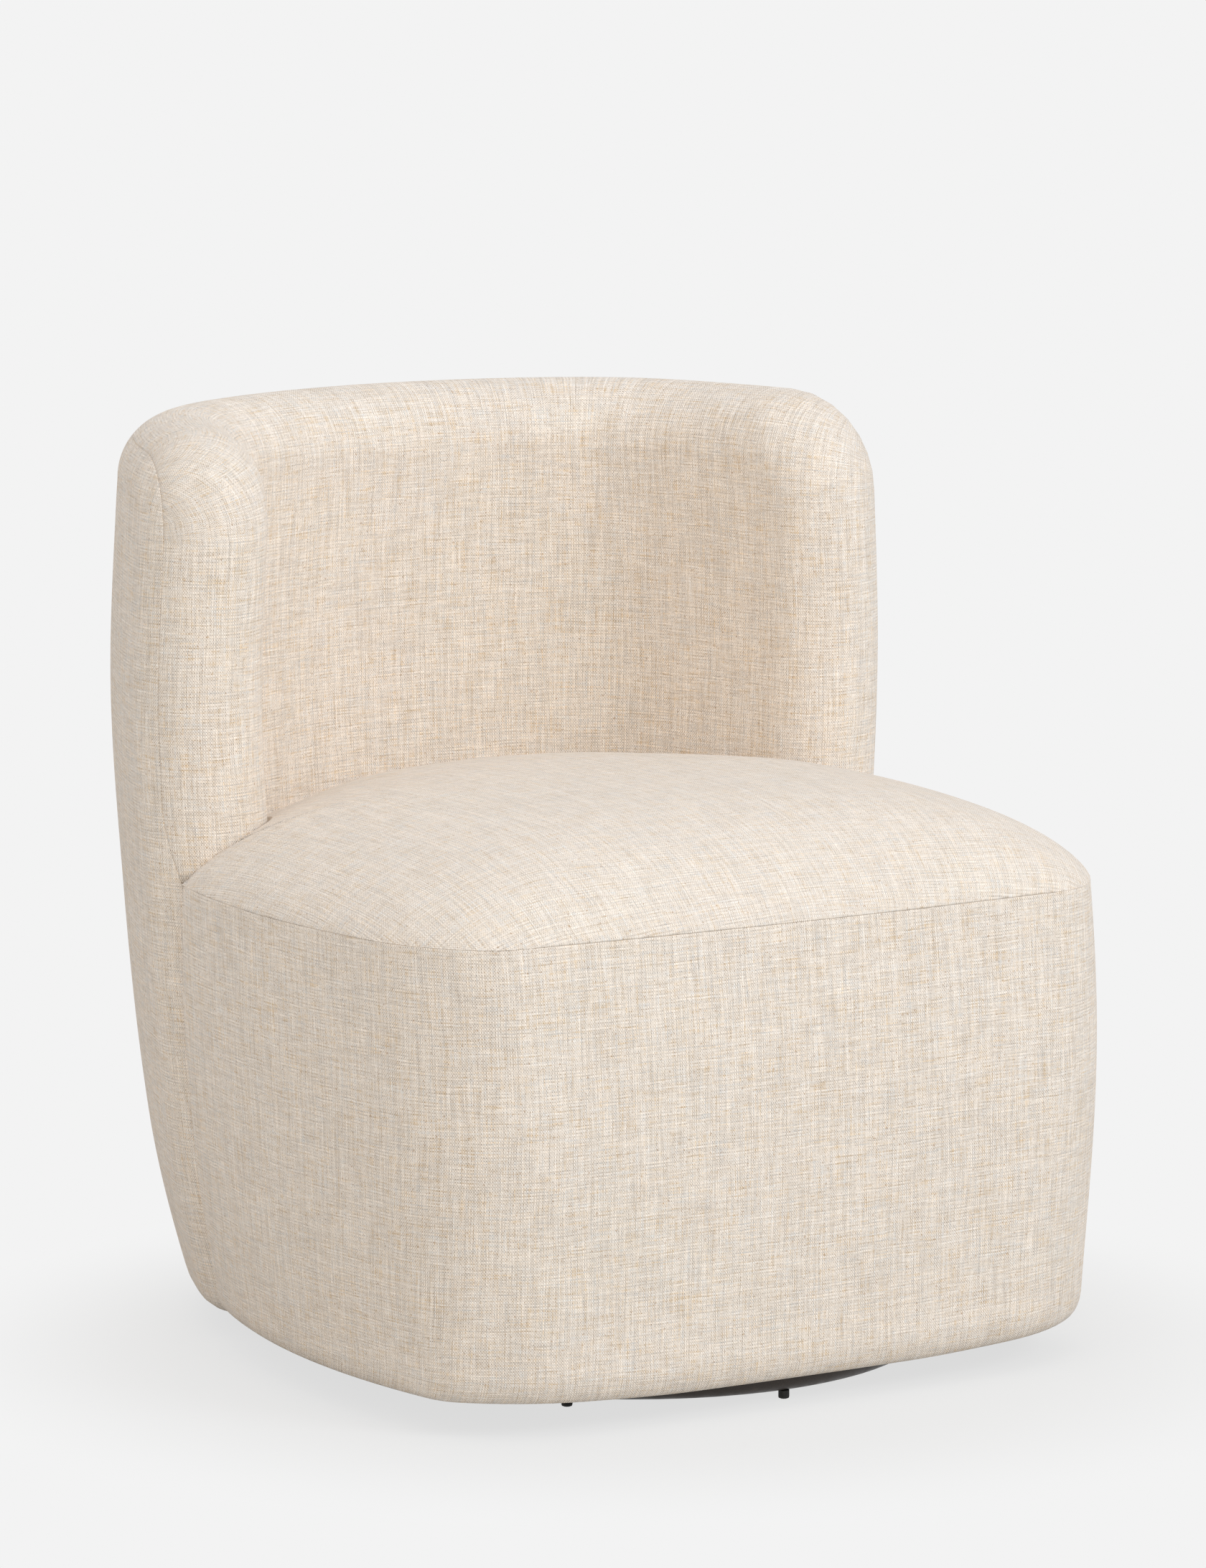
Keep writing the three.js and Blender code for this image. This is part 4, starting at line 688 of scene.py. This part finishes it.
def seat_linen():
    centre = np.array([0.0, CROWN_CENTRE_Y + SWIVEL_Y])
    angles = np.linspace(-np.pi, np.pi, SEAT_RAYS + 1)[:-1]
    reach = seat_reach(angles, centre, SEAT_CLEARANCE)
    turned = np.degrees(np.abs(angles - np.pi / 2))
    tucked = softened(seat_reach(angles, centre, -CROWN_TUCK), SEAT_SOFTENING)
    tucked = softened(bridged(tucked, turned), SEAT_SOFTENING)
    shares = 1 - (1 - np.linspace(0, 1, SEAT_RINGS + 1)[1:]) ** SEAT_CROWDING
    out = reach * shares[:, None]
    x = centre[0] + np.cos(angles) * reach * shares[:, None]
    y = centre[1] + np.sin(angles) * reach * shares[:, None]
    way = np.minimum(out / tucked, 1)
    rise = (1 - way ** CROWN_SPREAD) ** CROWN_ROUNDING
    drop = CROWN_REAR_DROP * np.clip((y - SWIVEL_Y - REAR_DROP_START) / REAR_DROP_LENGTH, 0, 1)
    z = SEAT_FOOT + (CROWN_HEIGHT + drop) * rise - drop * np.minimum(1, REAR_DROP_PULL * rise)
    skin = rows_of(x, y, np.maximum(z, SEAT_FOOT))
    top = np.array([[*centre, SEAT_FOOT + CROWN_HEIGHT]])
    foot = np.array([[*centre, SEAT_FOOT - SEAT_LIP]])
    last_ring = (SEAT_RINGS - 1) * SEAT_RAYS
    rim = skin[last_ring:].copy()
    rim[:, 2] = SEAT_FOOT - SEAT_LIP
    points = np.concatenate([skin, top, foot, rim])
    peak, base = len(skin), len(skin) + 1
    around = [(c, (c + 1) % SEAT_RAYS) for c in range(SEAT_RAYS)]
    faces = ring_faces(SEAT_RINGS, SEAT_RAYS) + [(peak, c, n) for c, n in around]
    for c, n in around:
        faces.append((last_ring + c, base + 1 + c, base + 1 + n, last_ring + n))
        faces.append((base, base + 1 + n, base + 1 + c))

    # the cloth is laid out from the middle, by the length of each spoke along the crown
    spokes = np.concatenate([np.repeat(top[None], SEAT_RAYS, axis=1), skin.reshape(SEAT_RINGS, SEAT_RAYS, 3)])
    along = np.cumsum(np.linalg.norm(np.diff(spokes, axis=0), axis=2), axis=0)
    cloth = centre + rows_of(along * np.cos(angles), along * np.sin(angles))
    weave = np.concatenate([cloth, [centre, centre], cloth[last_ring:]])
    return welded(make_mesh("seat_linen", points, faces, weave))


# the base ring and the dust cover

def dust_cover_sheet():
    """A sheet stapled below the swivel board at its edge and round its bore, which sags a little between."""
    node = frame["nodes"]["dust_cover"]
    points = np.array([node.matrix_world @ v.co for v in node.data.vertices])
    angle, reach = polar(points, np.array([0.0, SWIVEL_Y]))
    bore = reach.min()
    rim = np.nonzero(reach > bore + DUST_COVER_BORE_MARGIN)[0]
    rim = rim[np.argsort(angle[rim])]
    angles = np.linspace(-np.pi, np.pi, DUST_COVER_RAYS + 1)[:-1]
    edge = np.interp(angles, angle[rim], reach[rim], period=2 * np.pi)
    across = np.linspace(0, 1, DUST_COVER_RINGS)[:, None]
    out = bore + (edge - bore) * across
    sag = DUST_COVER_SAG * np.sin(np.pi * across) ** SAG_POWER * (1 + SAG_WAVE * np.sin(SAG_WAVES * angles))
    upper = rows_of(out * np.cos(angles), out * np.sin(angles) + SWIVEL_Y, points[:, 2].max() - sag)
    lower = upper - np.array([0, 0, DUST_COVER_THICKNESS])
    faces = ring_faces(DUST_COVER_RINGS, DUST_COVER_RAYS)
    return shell("dust_cover_sheet", upper, lower, faces, upper[:, :2])


def base_ring_tube():
    turn = np.linspace(0, 2 * np.pi, RING_ROUNDS + 1)[:-1, None]
    tube = np.linspace(0, 2 * np.pi, RING_SIDES + 1)[:-1]
    reach = RING_RADIUS + RING_TUBE_RADIUS * np.cos(tube)
    points = rows_of(reach * np.cos(turn), reach * np.sin(turn) + SWIVEL_Y,
                     RING_CENTRE_HEIGHT + RING_TUBE_RADIUS * np.sin(tube))
    return make_mesh("base_ring_tube", points, ring_faces(RING_ROUNDS, RING_SIDES, closed=True))


# materials, made of nodes; a scale is in cells to the metre, and a distance is the height of a relief

class Shader:
    """Short calls that add nodes to one material and join them."""

    def __init__(self, name):
        self.material = bpy.data.materials.new(name)
        self.material.use_nodes = True
        self.tree = self.material.node_tree
        self.surface = self.tree.nodes["Principled BSDF"]

    def node(self, kind, inputs=None, **settings):
        made = self.tree.nodes.new(kind)
        for key, value in settings.items():
            setattr(made, key, value)
        for key, value in (inputs or {}).items():
            self.put(made.inputs[key], value)
        return made

    def put(self, socket, value):
        if isinstance(value, bpy.types.NodeSocket):
            self.tree.links.new(value, socket)
        else:
            socket.default_value = value

    def math(self, operation, a, b=0.0, c=0.0):
        made = self.node("ShaderNodeMath", operation=operation)
        for socket, value in zip(made.inputs, (a, b, c)):
            self.put(socket, value)
        return made.outputs[0]

    def weighed(self, *pairs):
        """The sum of some values, each times its weight."""
        total = 0.0
        for value, weight in pairs:
            total = self.math("MULTIPLY_ADD", value, weight, total)
        return total

    def blend(self, share, a, b, how="MIX"):
        """Two colours mixed: the node takes them at its sockets 6 and 7, and gives the mix at 2."""
        made = self.node("ShaderNodeMix", data_type="RGBA", blend_type=how)
        self.put(made.inputs[0], share)
        self.put(made.inputs[6], a)
        self.put(made.inputs[7], b)
        return made.outputs[2]

    def vector(self, x=0.0, y=0.0, z=0.0):
        return self.node("ShaderNodeCombineXYZ", {"X": x, "Y": y, "Z": z}).outputs[0]

    def split(self, vector):
        return self.node("ShaderNodeSeparateXYZ", {"Vector": vector}).outputs

    def place(self):
        return self.node("ShaderNodeTexCoord").outputs["Object"]

    def stretched(self, vector, scale):
        return self.node("ShaderNodeMapping", {"Vector": vector, "Scale": scale}).outputs[0]

    def noise(self, vector, scale=1.0, detail=2.0, roughness=0.5):
        inputs = {"Vector": vector, "Scale": scale, "Detail": detail, "Roughness": roughness}
        return self.node("ShaderNodeTexNoise", inputs).outputs[0]

    def flat_noise(self, x, x_scale, y, y_scale, layer, detail=1.0):
        """Noise over two values with a scale each, on a layer that sets it apart from other noise."""
        across, along = self.math("MULTIPLY", x, x_scale), self.math("MULTIPLY", y, y_scale)
        return self.noise(self.vector(across, along, layer), detail=detail)

    def cells(self, vector, scale, output="Distance"):
        return self.node("ShaderNodeTexVoronoi", {"Vector": vector, "Scale": scale}).outputs[output]

    def range(self, value, low, high, to_low=0.0, to_high=1.0, smooth=True):
        inputs = {"Value": value, "From Min": low, "From Max": high, "To Min": to_low, "To Max": to_high}
        made = self.node("ShaderNodeMapRange", inputs)
        made.interpolation_type = "SMOOTHSTEP" if smooth else "LINEAR"
        return made.outputs[0]

    def ramp(self, value, stops):
        made = self.node("ShaderNodeValToRGB", {"Fac": value})
        points = made.color_ramp.elements
        while len(points) < len(stops):
            points.new(0.5)
        for point, (place, colour) in zip(points, stops):
            point.position = place
            point.color = colour
        return made.outputs[0]

    def bump(self, height, distance, strength=1.0, under=None):
        made = self.node("ShaderNodeBump", {"Height": height, "Distance": distance, "Strength": strength})
        if under is not None:
            self.put(made.inputs["Normal"], under)
        return made.outputs[0]

    def finish(self, colour, roughness, normal=None, **own):
        self.put(self.surface.inputs["Base Color"], colour)
        self.put(self.surface.inputs["Roughness"], roughness)
        if normal is not None:
            self.put(self.surface.inputs["Normal"], normal)
        for key, value in own.items():
            self.surface.inputs[key.replace("_", " ")].default_value = value
        return self.material


def linear(red, green, blue):
    """A colour named by its 0 to 255 screen values."""
    parts = [c / 255 for c in (red, green, blue)]
    parts = [c / 12.92 if c <= 0.04045 else ((c + 0.055) / 1.055) ** 2.4 for c in parts]
    return (*parts, 1.0)


LINEN_BASE = linear(239, 228, 216)
LINEN_TAN = linear(224, 197, 160)
LINEN_COOL = linear(229, 227, 224)
LINEN_SHADE = linear(138, 112, 86)
LINEN_FLECK = linear(172, 132, 90)


def linen(name="linen", contrast=1.0, level=1.0):
    """Plain weave of uneven threads, with streaks along both ways of the cloth, painted shade in the
    pinholes, a painted sheen on the crossings, and tan fibres.
    """
    s = Shader(name)
    u, v = s.split(s.node("ShaderNodeAttribute", attribute_name="weave").outputs["Vector"])[:2]
    place = s.place()
    aside = s.node("ShaderNodeVectorMath", {0: place, 1: ASIDE}, operation="ADD").outputs[0]
    for scale, sway in SWAYS:
        u = s.math("MULTIPLY_ADD", s.noise(place, scale, detail=1.0), sway, u)
        v = s.math("MULTIPLY_ADD", s.noise(aside, scale, detail=1.0), sway, v)
    a, b = s.math("MULTIPLY", u, 1 / WARP_PITCH), s.math("MULTIPLY", v, 1 / WEFT_PITCH)
    thread_a, thread_b = s.math("FLOOR", a), s.math("FLOOR", b)

    # each thread has its own tone, which changes slowly along it, and so has each bundle of a few threads
    warp = s.flat_noise(thread_a, THREAD_STEP, v, 24.0, layer=0.3)
    weft = s.flat_noise(u, 44.0, thread_b, THREAD_STEP, layer=9.7)
    warp_bundle = s.flat_noise(u, 260.0, v, 34.0, layer=2.0)
    weft_bundle = s.flat_noise(u, 42.0, v, 260.0, layer=5.0)
    tone = 0.0
    for streak, strength in ((warp, WARP_STREAKS * contrast), (weft, WEFT_STREAKS * contrast),
                             (warp_bundle, BUNDLE_STREAKS), (weft_bundle, BUNDLE_STREAKS)):
        tone = s.math("MULTIPLY_ADD", s.math("SUBTRACT", streak, 0.5), strength, tone)

    # over and under: at every other crossing the warp dips under the weft, and the gap there is painted dark
    # as shade
    wave_a = s.math("SINE", s.math("MULTIPLY", a, math.pi))
    wave_b = s.math("SINE", s.math("MULTIPLY", b, math.pi))
    lobe = s.math("MULTIPLY", wave_a, wave_b)
    for wave, bundle in ((wave_a, warp_bundle), (wave_b, weft_bundle)):
        tone = s.math("MULTIPLY_ADD", wave, s.range(bundle, *BUNDLE_RANGE, 0.0, PAIRED_THREADS), tone)
    crossing = s.vector(thread_a, thread_b, 0.0)
    cell = s.node("ShaderNodeTexWhiteNoise", {"Vector": crossing}).outputs["Value"]
    loose = s.math("MULTIPLY_ADD", tone, -PINHOLE_SHADE_IN_THIN_THREADS, cell)
    shade_depth = s.range(loose, 0.0, 1.0, 0.0, PINHOLE_SHADE_DEPTH * contrast, smooth=False)
    pinhole_shade = s.math("MULTIPLY", s.range(lobe, *PINHOLE_SHADE_RANGE), shade_depth)
    # painted sheen: each crossing where a thread lies over is painted lighter, or a little darker, by a
    # random share
    shine = s.range(cell, 0.0, 1.0, -CROWN_SHADE * CROWN_GLEAM, CROWN_GLEAM, smooth=False)
    gleam = s.math("MULTIPLY", s.range(lobe, *GLEAM_RANGE), shine)

    # each thread is a little warm or cool, in stretches along it
    tint_a = s.flat_noise(thread_a, TINT_STEP, v, 34.0, layer=21.0, detail=2.0)
    tint_b = s.flat_noise(u, 46.0, thread_b, TINT_STEP, layer=33.0, detail=2.0)
    tint = s.math("ADD", tint_a, tint_b)
    colour = s.blend(s.range(tint, *TAN_RANGE, 0.0, TAN_SHARE * contrast), LINEN_BASE, LINEN_TAN)
    colour = s.blend(s.range(tint, *COOL_RANGE, 0.0, COOL_SHARE), colour, LINEN_COOL)
    bright = s.math("ADD", level, s.math("ADD", tone, gleam))
    colour = s.blend(1.0, colour, s.vector(bright, bright, bright), "MULTIPLY")
    # painted shade in the pinholes
    colour = s.blend(pinhole_shade, colour, LINEN_SHADE)
    fleck = s.range(s.flat_noise(u, FLECK_SCALE, v, FLECK_SCALE, layer=4.0, detail=0.0), *FLECK_RANGE)
    colour = s.blend(s.math("MULTIPLY", fleck, FLECK_SHARE), colour, LINEN_FLECK)

    # the relief of the threads, over the slight unevenness of cloth that hangs on a pad
    relief = s.math("MULTIPLY_ADD", tone, TONE_RELIEF, lobe)
    fine = s.bump(relief, distance=0.00022, strength=0.7 * contrast)
    hang = s.bump(s.noise(place, 24.0), distance=0.0018, strength=0.10, under=fine)
    return s.finish(colour, 0.88, hang, Sheen_Weight=0.1, Sheen_Roughness=0.45, Specular_IOR_Level=0.25)


def foam():
    s = Shader("foam")
    place = s.place()
    cells = s.cells(place, 700.0)
    patch = s.noise(place, 40.0, detail=3.0)
    colour = s.ramp(s.weighed((patch, 0.6), (cells, 0.4)),
                    [(0.2, linear(206, 186, 132)), (0.8, linear(240, 226, 184))])
    relief = s.bump(cells, distance=0.0006, strength=0.6)
    return s.finish(colour, 0.95, relief, Specular_IOR_Level=0.15)


def felt():
    s = Shader("felt")
    place = s.place()
    fibres = s.noise(place, 900.0, detail=4.0, roughness=0.7)
    flecks = s.range(s.noise(place, 420.0), 0.6, 0.7)
    colour = s.ramp(fibres, [(0.3, linear(74, 72, 70)), (0.7, linear(128, 124, 118))])
    colour = s.blend(s.math("MULTIPLY", flecks, 0.5), colour, linear(150, 96, 88))
    relief = s.bump(fibres, distance=0.0008, strength=0.7)
    return s.finish(colour, 0.97, relief, Sheen_Weight=0.2)


def cambric():
    s = Shader("cambric")
    place = s.place()
    dots = s.cells(place, 420.0)
    fibres = s.noise(place, 600.0, detail=3.0, roughness=0.65)
    colour = s.ramp(s.weighed((fibres, 0.6), (dots, 0.4)),
                    [(0.25, linear(18, 18, 19)), (0.8, linear(48, 48, 50))])
    relief = s.bump(dots, distance=0.0002, strength=0.5)
    return s.finish(colour, 0.9, relief, Specular_IOR_Level=0.3)


def plywood():
    s = Shader("plywood")
    place = s.place()
    grain = s.noise(s.stretched(place, (18.0, 160.0, 160.0)), detail=5.0, roughness=0.6)
    wide = s.noise(s.stretched(place, (3.0, 22.0, 22.0)), detail=3.0)
    colour = s.ramp(s.weighed((grain, 0.6), (wide, 0.4)),
                    [(0.3, linear(176, 132, 86)), (0.55, linear(208, 170, 122)),
                     (0.75, linear(226, 194, 150))])
    height = s.math("MULTIPLY", s.split(place)[2], 2 * math.pi / PLY_THICKNESS)
    plies = s.range(s.math("SINE", height), -0.2, 0.2)
    facing = s.split(s.node("ShaderNodeTexCoord").outputs["Normal"])[2]
    edges = s.math("MULTIPLY", plies, s.math("SUBTRACT", 1.0, s.math("ABSOLUTE", facing)))
    colour = s.blend(s.math("MULTIPLY", edges, 0.35), colour, linear(132, 92, 58))
    rough = s.range(grain, 0.3, 0.7, 0.55, 0.75)
    relief = s.bump(grain, distance=0.0004, strength=0.5)
    return s.finish(colour, rough, relief, Specular_IOR_Level=0.35)


def bronze_paint():
    s = Shader("bronze_paint")
    place = s.place()
    speckle = s.noise(place, 1400.0)
    wear = s.range(s.noise(place, 60.0, detail=4.0, roughness=0.65), 0.62, 0.78)
    colour = s.ramp(speckle, [(0.3, linear(42, 35, 30)), (0.7, linear(62, 53, 46))])
    colour = s.blend(s.math("MULTIPLY", wear, 0.35), colour, linear(96, 82, 70))
    rough = s.range(s.noise(place, 90.0, detail=3.0), 0.3, 0.7, 0.34, 0.5)
    relief = s.bump(speckle, distance=0.00012, strength=0.6)
    return s.finish(colour, rough, relief, Metallic=0.35, Specular_IOR_Level=0.5)


def zinc_steel():
    s = Shader("zinc_steel")
    place = s.place()
    spangle = s.cells(place, 160.0, "Color")
    grey = s.node("ShaderNodeSeparateColor", {"Color": spangle}).outputs[0]
    colour = s.ramp(grey, [(0.0, linear(168, 170, 172)), (1.0, linear(200, 202, 203))])
    dull = s.noise(place, 45.0, detail=4.0, roughness=0.6)
    colour = s.blend(s.range(dull, 0.6, 0.8, 0.0, 0.5), colour, linear(140, 138, 132))
    rough = s.range(dull, 0.3, 0.75, 0.28, 0.5)
    return s.finish(colour, rough, s.bump(dull, distance=0.0002, strength=0.3), Metallic=0.95)


def spring_steel():
    s = Shader("spring_steel")
    place = s.place()
    drawn = s.noise(s.stretched(place, (900.0, 900.0, 60.0)))
    oil = s.noise(place, 70.0, detail=3.0)
    colour = s.ramp(s.weighed((drawn, 0.5), (oil, 0.5)),
                    [(0.3, linear(58, 58, 60)), (0.7, linear(112, 110, 108))])
    rough = s.range(oil, 0.3, 0.7, 0.3, 0.5)
    return s.finish(colour, rough, s.bump(drawn, distance=0.0001, strength=0.4), Metallic=0.9)


def rubber():
    s = Shader("rubber")
    place = s.place()
    grain = s.noise(place, 1600.0, detail=3.0, roughness=0.6)
    dust = s.range(s.noise(place, 120.0, detail=3.0), 0.55, 0.75)
    colour = s.ramp(grain, [(0.3, linear(24, 24, 24)), (0.7, linear(40, 40, 40))])
    colour = s.blend(s.math("MULTIPLY", dust, 0.3), colour, linear(90, 88, 84))
    rough = s.range(grain, 0.3, 0.7, 0.65, 0.8)
    relief = s.bump(grain, distance=0.0001, strength=0.5)
    return s.finish(colour, rough, relief, Specular_IOR_Level=0.4)


MATERIALS = {make.__name__: make() for make in
             (linen, foam, felt, cambric, plywood, bronze_paint, zinc_steel, spring_steel, rubber)}
# painted shade: a darker copy of the linen with fainter marks, for the seat, which the lamps light more
# strongly from above
MATERIALS["linen_on_seat"] = linen("linen_on_seat", SEAT_CONTRAST, SEAT_SHADE_LEVEL)


# every solid that stays takes the finish of its slot, and finer pieces take the places of six others

def dress(piece, body, replaced, slot, finish=None):
    piece.data.materials.clear()
    piece.data.materials.append(MATERIALS[finish or slot])
    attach(piece, body)
    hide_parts(replaced)
    return piece


for node in frame["nodes"].values():
    own = node.data.materials[0].name.split(".")[0] if node.data.materials else "plywood"
    node.data.materials.clear()
    node.data.materials.append(MATERIALS.get(own, MATERIALS["plywood"]))

dress(back_outer_linen(), "seat", "back_outer_cover", "linen")
dress(back_inner_linen(), "seat", "back_inner_pad", "linen")
dress(base_band_linen(), "seat", "base_band_cover", "linen")
dress(seat_linen(), "seat", "seat_cushion", "linen", "linen_on_seat")
dress(base_ring_tube(), "base", "base_ring", "bronze_paint")
dress(dust_cover_sheet(), "seat", "dust_cover", "cambric")


# the studio: a pale floor and backdrop, a key lamp at the front right, one above, and two weak ones

def floor():
    s = Shader("studio_floor")
    s.finish(FLOOR_COLOUR, 0.9, Specular_IOR_Level=0.0)
    glow = s.node("ShaderNodeEmission", {"Color": (1.0, 1.0, 1.0, 1.0), "Strength": BACKDROP})
    x, y, _ = s.split(s.place())
    y = s.math("SUBTRACT", y, SWIVEL_Y)
    away = s.math("SQRT", s.math("ADD", s.math("MULTIPLY", x, x), s.math("MULTIPLY", y, y)))

    # away from the chair the floor is seen as bright as the backdrop, which lights nothing
    rays = s.node("ShaderNodeLightPath").outputs
    seen = s.math("MAXIMUM", rays["Is Camera Ray"], rays["Is Glossy Ray"])
    seen = s.math("MAXIMUM", seen, rays["Is Transmission Ray"])
    share = s.math("MULTIPLY", s.range(away, GLOW_FROM, GLOW_TO, GLOW_LEAST, 1.0), seen)
    mixed = s.node("ShaderNodeMixShader", {0: share, 1: s.surface.outputs[0], 2: glow.outputs[0]})
    s.tree.links.new(mixed.outputs[0], s.tree.nodes["Material Output"].inputs["Surface"])
    half = FLOOR_SIZE / 2
    corners = [(-half, -half, 0), (half, -half, 0), (half, half, 0), (-half, half, 0)]
    made = make_mesh("studio_floor", corners, [(0, 1, 2, 3)], smooth=False)
    made.data.materials.append(s.material)
    return made


def world():
    """A world that lights the chair at one strength and is seen at another."""
    made = bpy.data.worlds.new("studio_world")
    made.use_nodes = True
    tree = made.node_tree
    tree.nodes.clear()
    rays = tree.nodes.new("ShaderNodeLightPath")
    seen = tree.nodes.new("ShaderNodeMath")
    seen.operation = "MAXIMUM"
    mixed = tree.nodes.new("ShaderNodeMixShader")
    out = tree.nodes.new("ShaderNodeOutputWorld")
    tree.links.new(rays.outputs["Is Camera Ray"], seen.inputs[0])
    tree.links.new(rays.outputs["Is Transmission Ray"], seen.inputs[1])
    tree.links.new(seen.outputs[0], mixed.inputs[0])
    for socket, strength in zip(mixed.inputs[1:], (WORLD_LIGHT, BACKDROP)):
        background = tree.nodes.new("ShaderNodeBackground")
        background.inputs["Color"].default_value = (1, 1, 1, 1)
        background.inputs["Strength"].default_value = strength
        tree.links.new(background.outputs[0], socket)
    tree.links.new(mixed.outputs[0], out.inputs["Surface"])
    bpy.context.scene.world = made


def lamp(name, place, watts, colour):
    light = bpy.data.lights.new(name, "AREA")
    light.shape = "DISK"
    light.size = LAMP_SIZE
    light.energy = watts
    light.color = colour
    made = bpy.data.objects.new(name, light)
    made.location = place
    made.rotation_mode = "QUATERNION"
    made.rotation_quaternion = (LAMP_AIM - Vector(place)).to_track_quat("-Z", "Y")
    bpy.context.scene.collection.objects.link(made)
    return made


def camera():
    data = bpy.data.cameras.new("studio_camera")
    data.lens = LENS_MM
    data.sensor_width = SENSOR_MM
    data.clip_start, data.clip_end = CAMERA_CLIP
    made = bpy.data.objects.new("studio_camera", data)
    bpy.context.scene.collection.objects.link(made)
    made.location = CAMERA_PLACE
    level = math.cos(CAMERA_ELEVATION)
    back = Vector((math.sin(CAMERA_AZIMUTH) * level, -math.cos(CAMERA_AZIMUTH) * level,
                   math.sin(CAMERA_ELEVATION)))
    made.rotation_mode = "QUATERNION"
    made.rotation_quaternion = (-back).to_track_quat("-Z", "Y")
    bpy.context.scene.camera = made


world()
floor()
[lamp(name, *settings) for name, settings in LAMPS.items()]
camera()
bpy.context.scene.view_settings.view_transform = "Standard"
